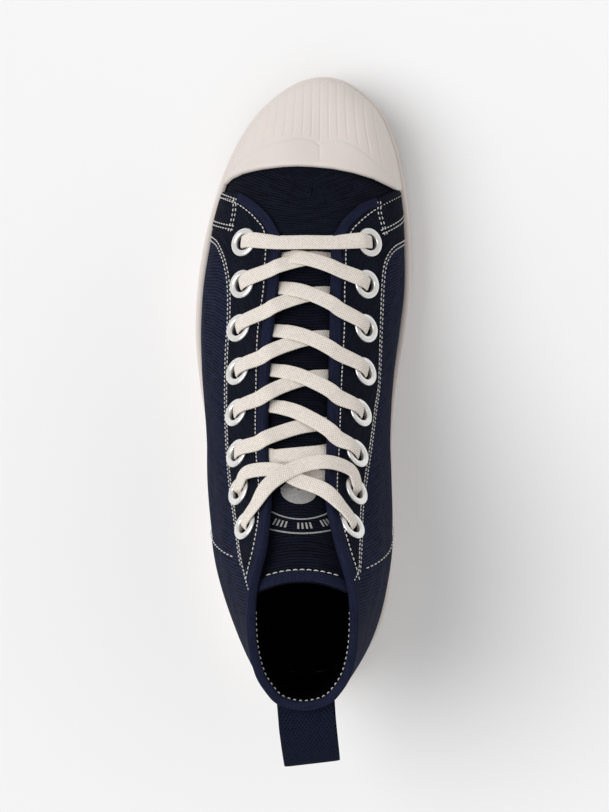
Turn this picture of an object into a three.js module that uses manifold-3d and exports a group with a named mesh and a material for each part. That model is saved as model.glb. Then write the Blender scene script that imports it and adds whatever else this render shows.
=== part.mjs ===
// Canvas lace-up sneaker, left shoe, EU size 37: rubber sole and toe cap, canvas upper, flat laces.
// Millimetres. +Y points to the toe, +X to the inner (medial) side, +Z up.
// The origin is on the floor under the middle of the heel.
import * as THREE from 'three';
import { mergeVertices } from 'three/addons/utils/BufferGeometryUtils.js';
import Module from 'manifold-3d';

const wasm = await Module();
wasm.setup();

// ---- driving dimensions ----
const HEEL_TO_ORIGIN = 32;      // the origin is this far in front of the back of the heel
const CLEAR = 0.3;              // gap between neighbouring pieces
const FOXING = 3;               // thickness of the rubber sidewall
const WALL = 1.8;               // thickness of the canvas upper, two layers
const CAP = 1.7;                // thickness of the rubber toe cap
const INSOLE = 3;               // thickness of the footbed
const TONGUE = 2.4;             // thickness of the tongue
const LACE_WIDTH = 7.5;
const LACE_THICK = 1.3;
const EYELET = { outer: 5.8, hole: 3.5, thick: 0.9, taper: 0.3 };
const WAIST_RECESS = { from: 70, to: 137, depth: 1.8, margin: 6 };
const LOOP = { width: 22.5, thick: 1.5, middle: 3.7, turn: 0.12, clear: 1.6 };

// A table: names of the columns, then one row for each station. Returns a list of records.
const table = (names, rows) => rows.map((row) =>
  Object.fromEntries(names.split(' ').map((name, column) => [name, row[column]])));

// The sole, a row for each station from the back of the heel to the tip of the toe. along is measured
// forwards from the heel's back; the tread's edge and the top edge of the sidewall (rim) are X on the
// outer (Lat) and inner (Med) side; floor is the height of the underside, rim that of the top edge.
const SOLE = table('along treadLat treadMed rimLat rimMed floor plate rim', [
  [0, 1.2, 1.2, 1.8, 1.8, 0, 15, 27],
  [2.2, -9.6, 12.0, -8.9, 12.4, 0, 15, 27],
  [8.5, -19.2, 21.2, -17.8, 21.2, 0, 15, 27],
  [19, -26.9, 29.2, -24.9, 29.3, 0, 15, 27],
  [33, -32.4, 34.4, -30.6, 34.5, 0, 15, 26.8],
  [50, -35.7, 35.6, -35.0, 37.0, 0, 14.8, 26.5],
  [70, -36.4, 31.9, -37.7, 38.2, 0, 14.5, 26.2],
  [90, -36.2, 26.2, -39.5, 37.8, 0.8, 13.4, 26],
  [110, -38.2, 24.0, -40.8, 38.0, 1.0, 12.7, 25.7],
  [130, -42.4, 25.0, -43.8, 40.1, 0.5, 12.6, 25.4],
  [150, -45.0, 34.4, -45.5, 43.4, 0, 12.5, 25.1],
  [169, -45.5, 45.0, -44.7, 45.6, 0, 12.2, 25],
  [187, -43.0, 46.0, -42.1, 45.6, 0, 12, 25],
  [204, -38.9, 44.6, -38.0, 44.2, 0.7, 11.8, 25.6],
  [219, -33.3, 42.2, -32.9, 41.9, 2.2, 11.5, 27],
  [232, -26.7, 38.8, -26.6, 38.5, 4.2, 11.3, 28.6],
  [243, -19.0, 33.8, -18.8, 33.6, 6.2, 11.2, 30],
  [251, -10.0, 26.4, -9.8, 26.2, 7.8, 11, 31],
  [256.2, -0.8, 18.0, -0.6, 17.9, 8.8, 11, 31.6],
  [258, 8.8, 8.8, 9.0, 9.0, 9.1, 11, 31.8],
]);

// The upper, a rib for each station of the sole. Its top end is at topAlong, topMid -/+ topHalf and
// height top: on the middle of the vamp in front, then on the throat's edge, then on the collar.
// A rib is a Bezier curve: it leaves the sole upwards, leaning out by lean, for rise of its chord,
// and reaches its top end in the direction (inward, back, up), from reach of its chord away.
const RIBS = table('topAlong topMid topHalf top lean rise inward back up reach', [
  [-0.8, 3.5, 0, 119, 0.1, 0.35, 0, 0, 1, 0.3],
  [1.2, 3.5, 8.8, 119.2, 0.08, 0.35, 0, 0, 1, 0.3],
  [5.6, 3.6, 13.6, 120, 0.06, 0.35, 0.02, 0, 1, 0.3],
  [13.5, 3.6, 18, 122, 0.08, 0.35, 0.05, 0, 1, 0.3],
  [27, 3.6, 20.4, 126, 0.1, 0.35, 0.14, 0, 1, 0.3],
  [46, 3.6, 19.6, 130, 0.12, 0.35, 0.45, 0, 1, 0.3],
  [64, 3.0, 14.6, 126.5, 0.17, 0.34, 0.9, 0, 0.9, 0.28],
  [82, 1.4, 11.6, 114, 0.24, 0.34, 1, 0, 0.72, 0.28],
  [103, 0.4, 12.4, 98, 0.28, 0.33, 1, 0, 0.62, 0.3],
  [124, 0.3, 12.6, 83.5, 0.24, 0.33, 1, 0, 0.54, 0.31],
  [145, 0.7, 12.4, 72, 0.13, 0.33, 1, 0, 0.45, 0.32],
  [166, 1.8, 11.2, 63.5, 0.05, 0.32, 1, 0, 0.32, 0.34],
  [185, 2.6, 10, 58.5, 0, 0.32, 1, 0, 0.15, 0.36],
  [196, 3.4, 0, 57.5, 0, 0.32, 1, 0.04, 0.02, 0.4],
  [206, 4.4, 0, 54.6, 0, 0.32, 1, 0.14, 0.05, 0.42],
  [213, 5.2, 0, 52.2, 0, 0.32, 1, 0.34, 0.12, 0.44],
  [218, 5.8, 0, 50.4, 0, 0.32, 1, 0.62, 0.22, 0.46],
  [221.5, 6.2, 0, 49, 0, 0.32, 0.8, 0.9, 0.33, 0.48],
  [223.5, 6.5, 0, 48.2, 0, 0.32, 0.38, 1, 0.37, 0.5],
  [224.2, 6.6, 0, 47.9, 0, 0.32, 0, 1, 0.38, 0.5],
]);

// The eyelets, from the toe up: where each pair lies in plan.
const EYELETS = table('along outer inner', [
  [187, -22.9, 27.9],
  [169.5, -23.4, 26.8],
  [151, -24.5, 26.5],
  [133, -24.4, 26.3],
  [116, -24.4, 24.6],
  [99.5, -23.4, 23.4],
  [84.5, -22.1, 23.3],
  [71, -18.9, 22.2],
]);

// The tongue's free end, above the throat.
const TONGUE_TOP = table('along height mid half dome', [
  [57, 126.5, 3.3, 13.6, 2.4],
  [47.8, 132.5, 4, 15.2, 2.4],
]);

// ---- stations round the shoe ----
// place runs round the sole: 0 at the back of the heel, LAST at the tip of the toe on the outer side,
// and on to 2 * LAST back at the heel on the inner side. Between rows every column is a smooth cubic.
const LAST = SOLE.length - 1;
const AROUND = 2 * LAST;
const PER_ROW = 2;              // ribs modelled for each row of the tables

const rowAt = (index) => {
  const turn = ((index % AROUND) + AROUND) % AROUND;
  return { row: Math.min(turn, AROUND - turn), side: turn > LAST ? 1 : -1, tip: turn % LAST === 0 };
};

// The cubic through value(index) at whole places, with the slope at each the mean of its neighbours'.
function smooth(value, place) {
  const first = Math.floor(place);
  const t = place - first;
  const [a, b, c, d] = [-1, 0, 1, 2].map((step) => value(first + step));
  const slopeB = (c - a) / 2;
  const slopeC = (d - b) / 2;
  return b + t * (slopeB + t * (3 * (c - b) - 2 * slopeB - slopeC + t * (2 * (b - c) + slopeB + slopeC)));
}

const even = (rows, name) => (place) => smooth((index) => rows[rowAt(index).row][name], place);
const sided = (rows, name) => (place) => smooth((index) => {
  const { row, side, tip } = rowAt(index);
  return tip ? 0 : side * rows[row][name];
}, place);
const edge = (name) => (place) => smooth((index) => {
  const { row, side } = rowAt(index);
  return SOLE[row][name + (side > 0 ? 'Med' : 'Lat')];
}, place);

const along = even(SOLE, 'along');
const floorUnder = even(SOLE, 'floor');
const plate = even(SOLE, 'plate');
const rimHeight = even(SOLE, 'rim');
const treadX = edge('tread');
const rimX = edge('rim');
const floorAt = (place) => Math.max(0, floorUnder(place));
const plateTop = (place) => floorAt(place) + plate(place);

// The outer face of the sidewall: from the tread's edge (rise 0) it flares out to the rim (rise 1).
// inset moves the point inwards, square to the outline in plan.
const FLARE = 2.2;
function sidewall(place, height, inset) {
  const bottom = floorAt(place);
  const rise = Math.min(1, (height - bottom) / (rimHeight(place) - bottom));
  const flare = 1 - (1 - rise) ** FLARE;
  const x = (at) => treadX(at) + flare * (rimX(at) - treadX(at));
  const step = 0.01;
  const [behind, ahead] = [place - step, place + step];
  const tangent = new THREE.Vector2(x(ahead) - x(behind), along(ahead) - along(behind)).normalize();
  const outward = new THREE.Vector2(-tangent.y, tangent.x);
  return {
    point: new THREE.Vector3(x(place) - inset * outward.x, along(place) - inset * outward.y, height),
    outward: new THREE.Vector3(outward.x, outward.y, 0),
  };
}

const columns = Object.fromEntries(['topAlong', 'topMid', 'top', 'lean', 'rise', 'back', 'up', 'reach']
  .map((name) => [name, even(RIBS, name)]));
const topHalf = sided(RIBS, 'topHalf');
const inward = sided(RIBS, 'inward');
const isOuter = (place) => ((place % AROUND) + AROUND) % AROUND < LAST;

// The rib's top end. Its distance from the middle never changes sign, so both sides meet on the vamp.
function ribTop(place) {
  const half = topHalf(place);
  const apart = isOuter(place) ? Math.min(0, half) : Math.max(0, half);
  return new THREE.Vector3(columns.topMid(place) + apart, columns.topAlong(place), columns.top(place));
}

const UPPER_INSET = FOXING + CLEAR + 0.1;      // the upper's outer face, from the sidewall's

// A rib of the upper: a straight foot inside the sidewall, then the Bezier curve to its top end.
// v runs from -1 at the bottom of the foot, through 0 at the rim, to 1 at the top end.
function rib(place) {
  const foot = sidewall(place, rimHeight(place), UPPER_INSET);
  const end = ribTop(place);
  const chord = foot.point.distanceTo(end);
  const start = foot.outward.clone().multiplyScalar(columns.lean(place)).add(new THREE.Vector3(0, 0, 1));
  const arrive = new THREE.Vector3(-inward(place), -columns.back(place), columns.up(place)).normalize();
  const curve = new THREE.CubicBezierCurve3(
    foot.point,
    foot.point.clone().addScaledVector(start, columns.rise(place) * chord),
    end.clone().addScaledVector(arrive, -columns.reach(place) * chord),
    end,
  );
  const bottom = plateTop(place) + CLEAR;
  return (v) => {
    if (v >= 0) return curve.getPoint(v);
    return sidewall(place, rimHeight(place) + v * (rimHeight(place) - bottom), UPPER_INSET).point;
  };
}

// ---- solids ----
const toOrigin = (point) => [point.x, point.y - HEEL_TO_ORIGIN, point.z];

// A closed solid from a list of points and triangles (indices).
function solid(points, triangles) {
  return wasmSolid(new Float32Array(points.flatMap(toOrigin)), new Uint32Array(triangles.flat()));
}
function wasmSolid(vertProperties, triVerts) {
  return new wasm.Manifold(new wasm.Mesh({ numProp: 3, vertProperties, triVerts }));
}
function fromGeometry(geometry) {
  geometry.deleteAttribute('normal');
  geometry.deleteAttribute('uv');
  const merged = mergeVertices(geometry, 1e-4);
  return wasmSolid(new Float32Array(merged.attributes.position.array), new Uint32Array(merged.index.array));
}
function toGeometry(manifold) {
  const mesh = manifold.getMesh();
  const geometry = new THREE.BufferGeometry();
  geometry.setAttribute('position', new THREE.BufferAttribute(new Float32Array(mesh.vertProperties), 3));
  geometry.setIndex(new THREE.BufferAttribute(new Uint32Array(mesh.triVerts), 1));
  return geometry;
}
const quad = (a, b, c, d) => [[a, b, c], [a, c, d]];

const PLACES = Array.from({ length: AROUND * PER_ROW }, (unused, count) => count / PER_ROW);
const COUNT = PLACES.length;
const HALF = COUNT / 2;

// A band: rings of points (bottom to top on the outside, then down the inside) closed on itself.
function band(rings) {
  const points = rings.flat();
  const triangles = [];
  rings.forEach((ring, level) => {
    const next = (level + 1) % rings.length;
    for (let k = 0; k < COUNT; k += 1) {
      const right = (k + 1) % COUNT;
      const corners = [level * COUNT + k, next * COUNT + k, next * COUNT + right, level * COUNT + right];
      // Inside, the faces are split along the diagonal that the neighbour's own faces have.
      if (level >= rings.length / 2) corners.push(corners.shift());
      triangles.push(...quad(...corners));
    }
  });
  return solid(points, triangles);
}

// A slab: rings from bottom to top, with flat ladders of faces closing the underside and the top.
function slab(rings) {
  const points = rings.flat();
  const triangles = [];
  for (let level = 0; level < rings.length - 1; level += 1) {
    for (let k = 0; k < COUNT; k += 1) {
      const right = (k + 1) % COUNT;
      triangles.push(...quad(level * COUNT + k, (level + 1) * COUNT + k,
        (level + 1) * COUNT + right, level * COUNT + right));
    }
  }
  const lid = (rings.length - 1) * COUNT;
  for (let k = 0; k < HALF; k += 1) {
    const [a, b] = [k, k + 1];
    const [c, d] = [COUNT - k - 1, (COUNT - k) % COUNT];
    const faces = quad(a, b, c, d).filter((face) => new Set(face).size === 3);
    triangles.push(...faces, ...faces.map(([i, j, l]) => [lid + i, lid + l, lid + j]));
  }
  return solid(points, triangles);
}

const ring = (make) => PLACES.map(make);
const PLATE_LEVELS = [0, 0.35, 1];      // where the sidewall's faces bend beside the outsole

function outsole() {
  const inset = FOXING + CLEAR;
  const body = slab(PLATE_LEVELS.map((level) => ring((place) => {
    const height = floorAt(place) + level * plate(place);
    return sidewall(place, height, inset).point;
  })));
  const outline = new THREE.Shape();
  const rows = SOLE.filter((row) => row.along >= WAIST_RECESS.from && row.along <= WAIST_RECESS.to);
  const stations = [WAIST_RECESS.from, ...rows.map((row) => row.along).slice(1), WAIST_RECESS.to];
  const placeOf = (wanted) => {
    let [low, high] = [0, LAST];
    while (high - low > 1e-3) {
      const middle = (low + high) / 2;
      if (along(middle) < wanted) low = middle; else high = middle;
    }
    return low;
  };
  const outer = stations.map((station) => treadX(placeOf(station)) + WAIST_RECESS.margin);
  const inner = stations.map((station) => treadX(AROUND - placeOf(station)) - WAIST_RECESS.margin);
  outline.setFromPoints([
    ...stations.map((station, k) => new THREE.Vector2(outer[k], station - HEEL_TO_ORIGIN)),
    ...stations.map((station, k) => new THREE.Vector2(inner[k], station - HEEL_TO_ORIGIN)).reverse(),
  ]);
  const below = 5;
  const depth = below + WAIST_RECESS.depth + 1;
  const recess = new THREE.ExtrudeGeometry(outline, { depth, bevelEnabled: false });
  recess.translate(0, 0, -below);
  return body.subtract(fromGeometry(recess));
}

function foxing() {
  const heights = [
    ...PLATE_LEVELS.map((level) => (place) => floorAt(place) + level * plate(place)),
    (place) => (plateTop(place) + rimHeight(place)) / 2,
    rimHeight,
  ];
  const at = (height, inset) => ring((place) => sidewall(place, height(place), inset).point);
  return band([
    ...heights.map((height) => at(height, 0)),
    ...heights.reverse().map((height) => at(height, FOXING)),
  ]);
}

function insole() {
  const inset = UPPER_INSET + WALL + 3 * CLEAR;
  return slab([CLEAR, CLEAR + INSOLE].map((lift) => ring((place) =>
    sidewall(place, plateTop(place) + lift, inset).point)));
}

// A shell that follows the ribs between two distances from the upper's outer face.
const FOOT_LEVELS = [-1, -0.5];
const RIB_LEVELS = [0, 0.12, 0.26, 0.42, 0.58, 0.72, 0.86, 1];
const LEVELS = [...FOOT_LEVELS, ...RIB_LEVELS];

function shell(outer, inner) {
  const ribs = PLACES.map(rib);
  const top = LEVELS.length - 1;
  const closed = PLACES.map((place) => ribTop(place).x === columns.topMid(place));
  // On the vamp the ribs of the two sides share their top point.
  const id = (level, k) => {
    const around = ((k % COUNT) + COUNT) % COUNT;
    const shared = level === top && closed[around] && around > HALF ? COUNT - around : around;
    return level * COUNT + shared;
  };
  const middle = LEVELS.flatMap((level) => ribs.map((curve) => curve(level)));
  const faces = [];
  for (let level = 0; level < top; level += 1) {
    for (let k = 0; k < COUNT; k += 1) {
      const corners = [id(level, k), id(level + 1, k), id(level + 1, k + 1), id(level, k + 1)];
      faces.push(...quad(...corners).filter((face) => new Set(face).size === 3));
    }
  }
  const normals = vertexNormals(middle, faces);
  const size = middle.length;
  const moved = (distance) => middle.map((point, index) =>
    point.clone().addScaledVector(normals[index], distance));
  const points = [...moved(outer), ...moved(inner)];
  const triangles = [...faces, ...faces.map(([a, b, c]) => [a + size, c + size, b + size])];
  const rimEdges = borders(faces);
  rimEdges.forEach(([a, b]) => triangles.push(...quad(b, a, a + size, b + size)));
  return compact(points, triangles);
}

function vertexNormals(points, faces) {
  const normals = points.map(() => new THREE.Vector3());
  faces.forEach(([a, b, c]) => {
    const normal = points[b].clone().sub(points[a]).cross(points[c].clone().sub(points[a]));
    [a, b, c].forEach((index) => normals[index].add(normal));
  });
  return normals.map((normal) => normal.normalize());
}

// The directed edges that belong to one face only.
function borders(faces) {
  const directed = new Set(faces.flatMap(([a, b, c]) => [`${a},${b}`, `${b},${c}`, `${c},${a}`]));
  return [...directed].map((name) => name.split(',').map(Number))
    .filter(([a, b]) => !directed.has(`${b},${a}`));
}

// The solid without the points that no triangle uses.
function compact(points, triangles) {
  const used = [...new Set(triangles.flat())].sort((a, b) => a - b);
  const place = new Map(used.map((index, position) => [index, position]));
  const faces = triangles.map((face) => face.map((index) => place.get(index)));
  return solid(used.map((index) => points[index]), faces);
}

const upper = () => shell(0, -WALL);

// The toe cap: the part of a thicker shell that lies in front of the cap's rear edge and above the rim.
const CAP_EDGE = table('x along', [[-50, 207], [-36, 209.5], [-24, 214.5], [-10, 218], [5, 219.3],
  [20, 217.5], [32, 213.5], [44, 208.5], [60, 206]]);
const CAP_FROM = 180;           // behind the cap's rear edge
const CAP_BOX = { front: 270, height: 90, side: 60 };   // a space that holds the whole toe
function toeCap() {
  const { front, height, side } = CAP_BOX;
  const tip = front - HEEL_TO_ORIGIN;
  const rear = CAP_EDGE.map((stop) => new THREE.Vector2(stop.x, stop.along - HEEL_TO_ORIGIN));
  const plan = new THREE.Shape([
    ...new THREE.SplineCurve(rear).getPoints(3 * CAP_EDGE.length),
    new THREE.Vector2(CAP_EDGE.at(-1).x, tip),
    new THREE.Vector2(CAP_EDGE[0].x, tip),
  ]);
  const tall = new THREE.ExtrudeGeometry(plan, { depth: height, bevelEnabled: false });
  const overRim = SOLE.filter((row) => row.along > CAP_FROM)
    .map((row) => new THREE.Vector2(row.along - HEEL_TO_ORIGIN, row.rim + 2 * CLEAR));
  const sideView = new THREE.Shape([
    ...overRim,
    new THREE.Vector2(tip, overRim.at(-1).y),
    new THREE.Vector2(tip, height),
    new THREE.Vector2(overRim[0].x, height),
  ]);
  const above = new THREE.ExtrudeGeometry(sideView, { depth: 2 * side, bevelEnabled: false });
  above.rotateX(Math.PI / 2);
  above.rotateZ(Math.PI / 2);
  above.translate(-side, 0, 0);
  return shell(CLEAR + CAP, CLEAR).intersect(fromGeometry(tall)).intersect(fromGeometry(above));
}

// ---- on the upper's face ----
// The point and outward direction on the rib at place and v.
function onUpper(place, v) {
  const step = 0.02;
  const point = rib(place)(v);
  const lower = rib(place)(v - step);
  const ahead = rib(place + step)(v).sub(rib(place - step)(v));
  const up = point.clone().sub(lower);
  const normal = up.cross(ahead).normalize();
  return { point, normal };
}

// The place and v whose point has the given x and along, by a few Newton steps on that side.
const NEWTON = { place: 12, v: 0.8, rounds: 25, step: 1e-3, mostPlace: 1, mostV: 0.1 };
const SHOE_MIDDLE = 3;
function locate(x, wanted) {
  const { step, mostPlace, mostV } = NEWTON;
  const { clamp } = THREE.MathUtils;
  let place = x > SHOE_MIDDLE ? AROUND - NEWTON.place : NEWTON.place;
  let { v } = NEWTON;
  for (let round = 0; round < NEWTON.rounds; round += 1) {
    const here = rib(place)(v);
    const aside = rib(place + step)(v).sub(here).divideScalar(step);
    const up = rib(place)(v + step).sub(here).divideScalar(step);
    const [dx, dy] = [x - here.x, wanted - here.y];
    const area = aside.x * up.y - aside.y * up.x;
    place += clamp((dx * up.y - dy * up.x) / area, -mostPlace, mostPlace);
    v = clamp(v + clamp((dy * aside.x - dx * aside.y) / area, -mostV, mostV), 0.02, 0.99);
  }
  return onUpper(place, v);
}

const EYELET_SIDES = 12;
function eyelet(x, wanted) {
  const { point, normal } = locate(x, wanted);
  const { outer, hole, thick, taper } = EYELET;
  const profile = [[hole, 0], [outer, 0], [outer - taper, thick], [hole, thick], [hole, 0]]
    .map(([radius, height]) => new THREE.Vector2(radius, height + CLEAR));
  const geometry = new THREE.LatheGeometry(profile, EYELET_SIDES);
  geometry.applyQuaternion(new THREE.Quaternion().setFromUnitVectors(new THREE.Vector3(0, 1, 0), normal));
  geometry.translate(...toOrigin(point));
  return fromGeometry(geometry);
}

// ---- tongue ----
// A section across the instep, from the outer side to the inner one, at depth under the upper's face.
const TONGUE_LAP = 11;          // how far the tongue reaches under each facing
const FLATTEN = 0.55;           // how far the bridge keeps the direction it has under the facings
const TONGUE_GAP = 0.5;         // between the upper's lining and the tongue
const ACROSS = [0, 0.25, 0.5, 0.75, 1];
const TONGUE_PLACES = [13.4, 13, 12.5, 12, 11.5, 11, 10.5, 10, 9.5, 9, 8.5, 8, 7.5, 7, 6.6];
function instepSection(place, depth) {
  const sideOf = (at) => {
    const curve = rib(at);
    const nearEdge = 0.98;
    const speed = curve(1).distanceTo(curve(nearEdge)) / (1 - nearEdge);
    return [1, 0.5, 0].map((share) => {
      const { point, normal } = onUpper(at, 1 - share * TONGUE_LAP / speed);
      return point.addScaledVector(normal, -depth);
    });
  };
  const outer = sideOf(place);
  const inner = sideOf(AROUND - place);
  const [from, to] = [outer[2], inner[2]];
  const width = from.distanceTo(to);
  const leave = outer[2].clone().sub(outer[1]).normalize().multiplyScalar(width * FLATTEN / 3);
  const arrive = inner[2].clone().sub(inner[1]).normalize().multiplyScalar(width * FLATTEN / 3);
  const bridge = new THREE.CubicBezierCurve3(from, from.clone().add(leave), to.clone().add(arrive), to);
  const open = ACROSS.map((t) => bridge.getPoint(t));
  return [...outer.slice(0, 2), ...open, ...inner.slice(0, 2).reverse()];
}
// A section of the free end, w from -1 to 1 across it; the underside is a little narrower.
const NARROWER = 0.4;
function freeSection({ along: y, height, mid, half, dome }, depth) {
  return [-1, -0.75, -0.5, -0.25, 0, 0.25, 0.5, 0.75, 1].map((w) =>
    new THREE.Vector3(mid + w * (half - depth * NARROWER), y, height - dome * w * w - depth));
}
function tongue() {
  const face = WALL + TONGUE_GAP;
  const sheets = [0, TONGUE].map((depth) => [
    ...TONGUE_PLACES.map((place) => instepSection(place, face + depth)),
    ...TONGUE_TOP.map((row) => freeSection(row, depth)),
  ]);
  const rows = sheets[0].length;
  const across = sheets[0][0].length;
  const size = rows * across;
  const faces = [];
  for (let i = 0; i < rows - 1; i += 1) {
    for (let j = 0; j < across - 1; j += 1) {
      const a = i * across + j;
      faces.push(...quad(a, a + 1, a + 1 + across, a + across));
    }
  }
  const flipped = faces.map(([a, b, c]) => [a, c, b]);
  const triangles = [...flipped, ...faces.map((face) => face.map((index) => index + size))];
  borders(flipped).forEach(([a, b]) => triangles.push(...quad(b, a, a + size, b + size)));
  return solid(sheets.flat(2), triangles);
}

// ---- laces ----
// A flat strip through points, each with the direction that its broad face looks in.
function strip(stops, width = LACE_WIDTH) {
  const curve = new THREE.CatmullRomCurve3(stops.map((stop) => stop.point));
  const steps = 3 * (stops.length - 1);
  const halfWidth = width / 2;
  const halfThick = LACE_THICK / 2;
  const corners = [[-1, -1], [1, -1], [1, 1], [-1, 1]];
  const points = [];
  for (let k = 0; k <= steps; k += 1) {
    const t = k / steps;
    const position = t * (stops.length - 1);
    const first = Math.min(stops.length - 2, Math.floor(position));
    const face = stops[first].normal.clone().lerp(stops[first + 1].normal, position - first);
    const point = curve.getPoint(t);
    const tangent = curve.getTangent(t);
    const aside = tangent.clone().cross(face).normalize();
    const up = aside.clone().cross(tangent).normalize();
    corners.forEach(([a, b]) => points.push(
      point.clone().addScaledVector(aside, a * halfWidth).addScaledVector(up, b * halfThick)));
  }
  const last = 4 * steps;
  const triangles = [...quad(0, 1, 2, 3), ...quad(last + 3, last + 2, last + 1, last)];
  for (let k = 0; k < steps; k += 1) {
    for (let side = 0; side < 4; side += 1) {
      const next = (side + 1) % 4;
      triangles.push(...quad(4 * k + side, 4 * (k + 1) + side, 4 * (k + 1) + next, 4 * k + next));
    }
  }
  return solid(points, triangles);
}

const lift = ({ point, normal }, height) =>
  ({ point: point.clone().addScaledVector(normal, height), normal });
// How high the middle of a lace runs over the canvas and over an eyelet's ring.
const OVER_CANVAS = LACE_THICK / 2 + 0.8;
const OVER_EYELET = EYELET.thick + LACE_THICK / 2 + 1.05;

const THROAT = [5, 13];         // the places between which the throat's edge lies
// The throat's edge at that distance along the shoe, on the outer (-1) or inner (1) side.
function throatEdge(wanted, side) {
  let [low, high] = THROAT;
  while (high - low > 1e-3) {
    const middle = (low + high) / 2;
    if (columns.topAlong(middle) < wanted) low = middle; else high = middle;
  }
  return onUpper(side < 0 ? low : AROUND - low, 1);
}

// A stop of a lace: over the canvas, or over the open throat on the line between its two edges.
function above(x, wanted, height) {
  const edges = [-1, 1].map((side) => throatEdge(wanted, side));
  const share = (x - edges[0].point.x) / (edges[1].point.x - edges[0].point.x);
  if (share <= 0 || share >= 1) return lift(locate(x, wanted), height);
  const normal = edges[0].normal.clone().lerp(edges[1].normal, share).normalize();
  const point = edges[0].point.clone().lerp(edges[1].point, share);
  return lift({ point, normal }, height);
}

// Where each crossing comes out from under the facings; its two ends lie on the eyelets of that row.
const CROSSINGS = table('row outer inner', [
  [2, 181.4, 181.2],
  [3, 168, 166],
  [4, 150.2, 147.7],
  [5, 133.8, 131.4],
  [6, 119.1, 112],
]);
const UNDER_EDGE = -0.6;       // height of a lace where it comes out from under a facing
const INSIDE_EDGE = 2.6;        // how far inside the facing's edge it starts
const FIRST_OVER = 2.5;         // heights over the middle of the throat: the upper lace of a crossing
const SECOND_OVER = 1.35;       // and the lower one, which touches it
const AT_FAR_EDGE = 0.6;        // share of the way forward that is done at the far edge
const OVER_EDGE = 0.25;         // extra height over the far edge
const AT_EYELET = 0.1;          // and at the eyelet

// One lace of a crossing: from under the facing on one side to the eyelet on the other.
function overThroat(side, from, eyeletX, to, height) {
  const near = throatEdge(from, side);
  const atFarEdge = from + AT_FAR_EDGE * (to - from);
  const far = throatEdge(atFarEdge, -side);
  const middle = (from + atFarEdge) / 2;
  const start = near.point.x - side * INSIDE_EDGE;
  return strip([
    above(start, from, UNDER_EDGE),
    above((near.point.x + far.point.x) / 2, middle, height),
    lift(far, OVER_CANVAS + OVER_EDGE),
    above((far.point.x + eyeletX) / 2, (atFarEdge + to) / 2, OVER_EYELET),
    above(eyeletX, to, OVER_EYELET + AT_EYELET),
  ]);
}
function crossing({ row, outer, inner }) {
  const pair = EYELETS[row - 1];
  const first = overThroat(-1, outer, pair.inner, pair.along, FIRST_OVER);
  return first.add(overThroat(1, inner, pair.outer, pair.along, SECOND_OVER));
}

// The first bar, straight across between the front eyelets, past each facing's edge at an inset.
const BAR = { inset: 7, middle: 2.6, height: 2.6 };
function bar() {
  const [front] = EYELETS;
  return strip([
    above(front.outer, front.along, OVER_EYELET),
    above(front.outer + BAR.inset, front.along, OVER_EYELET),
    above(BAR.middle, front.along, BAR.height),
    above(front.inner - BAR.inset, front.along, OVER_EYELET),
    above(front.inner, front.along, OVER_EYELET),
  ]);
}

// Between the sixth and seventh eyelets the laces cross under the facings, in the open throat.
const UNDER_CROSSING = table('outer inner height', [[98.7, 100.5, 2.4], [96, 90.5, 1.3]]);
function underCrossing() {
  const strips = UNDER_CROSSING.map(({ outer, inner, height }) => {
    const ends = [throatEdge(outer, -1).point.x + INSIDE_EDGE, throatEdge(inner, 1).point.x - INSIDE_EDGE];
    return strip([
      above(ends[0], outer, UNDER_EDGE),
      above((ends[0] + ends[1]) / 2, (outer + inner) / 2, height),
      above(ends[1], inner, UNDER_EDGE),
    ]);
  });
  return strips[0].add(strips[1]);
}

// Over the top the laces come up out of the seventh eyelets, turn forwards and cross to the eighth.
const TOP_LACES = [
  table('x along height', [[23.3, 84.5, 2.6], [21.6, 92.5, 2.8], [12.5, 97, 3.4], [1.3, 94.6, 4.6],
    [-9.8, 88.3, 4.3], [-16, 80.5, 2.9], [-18.9, 71, 2.9]]),
  table('x along height', [[-22.1, 84.5, 2.6], [-18.5, 91.5, 2.6], [-8, 93.5, 3.1], [1.3, 89.5, 3.5],
    [12, 85.5, 3.1], [19.4, 79.5, 2.8], [22.2, 71, 2.9]]),
];
function topCrossing() {
  const strips = TOP_LACES.map((stops) =>
    strip(stops.map((stop) => above(stop.x, stop.along, stop.height))));
  return strips[0].add(strips[1]);
}

// ---- pull loop ----
// A webbing loop sewn to the back of the collar: out to the fold and back, seen from the side.
const LOOP_SIDE = table('back height', [[0, 113], [7, 112.6], [14.5, 110.6], [20, 107.6], [22.5, 104.6],
  [20.6, 101.6], [15, 99.3], [7.5, 95.6], [0.3, 92.5]]);
function pullLoop() {
  const path = new THREE.SplineCurve(LOOP_SIDE.map((stop) =>
    new THREE.Vector2(-LOOP.clear - stop.back, stop.height)));
  const steps = 22;
  const side = (offset) => Array.from({ length: steps + 1 }, (unused, k) => {
    const tangent = path.getTangent(k / steps);
    return path.getPoint(k / steps).add(new THREE.Vector2(-tangent.y, tangent.x).multiplyScalar(offset));
  });
  const outline = new THREE.Shape([...side(LOOP.thick / 2), ...side(-LOOP.thick / 2).reverse()]);
  const geometry = new THREE.ExtrudeGeometry(outline, { depth: LOOP.width, bevelEnabled: false });
  geometry.translate(0, 0, -LOOP.width / 2);
  geometry.rotateX(Math.PI / 2);
  geometry.rotateZ(Math.PI / 2);
  geometry.rotateZ(LOOP.turn);
  geometry.translate(LOOP.middle, -HEEL_TO_ORIGIN, 0);
  return fromGeometry(geometry);
}

const group = new THREE.Group();
function add(name, manifold, colour, roughness, metalness = 0) {
  const material = new THREE.MeshStandardMaterial({ color: colour, roughness, metalness });
  const mesh = new THREE.Mesh(toGeometry(manifold), material);
  mesh.name = name;
  group.add(mesh);
}

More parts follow.
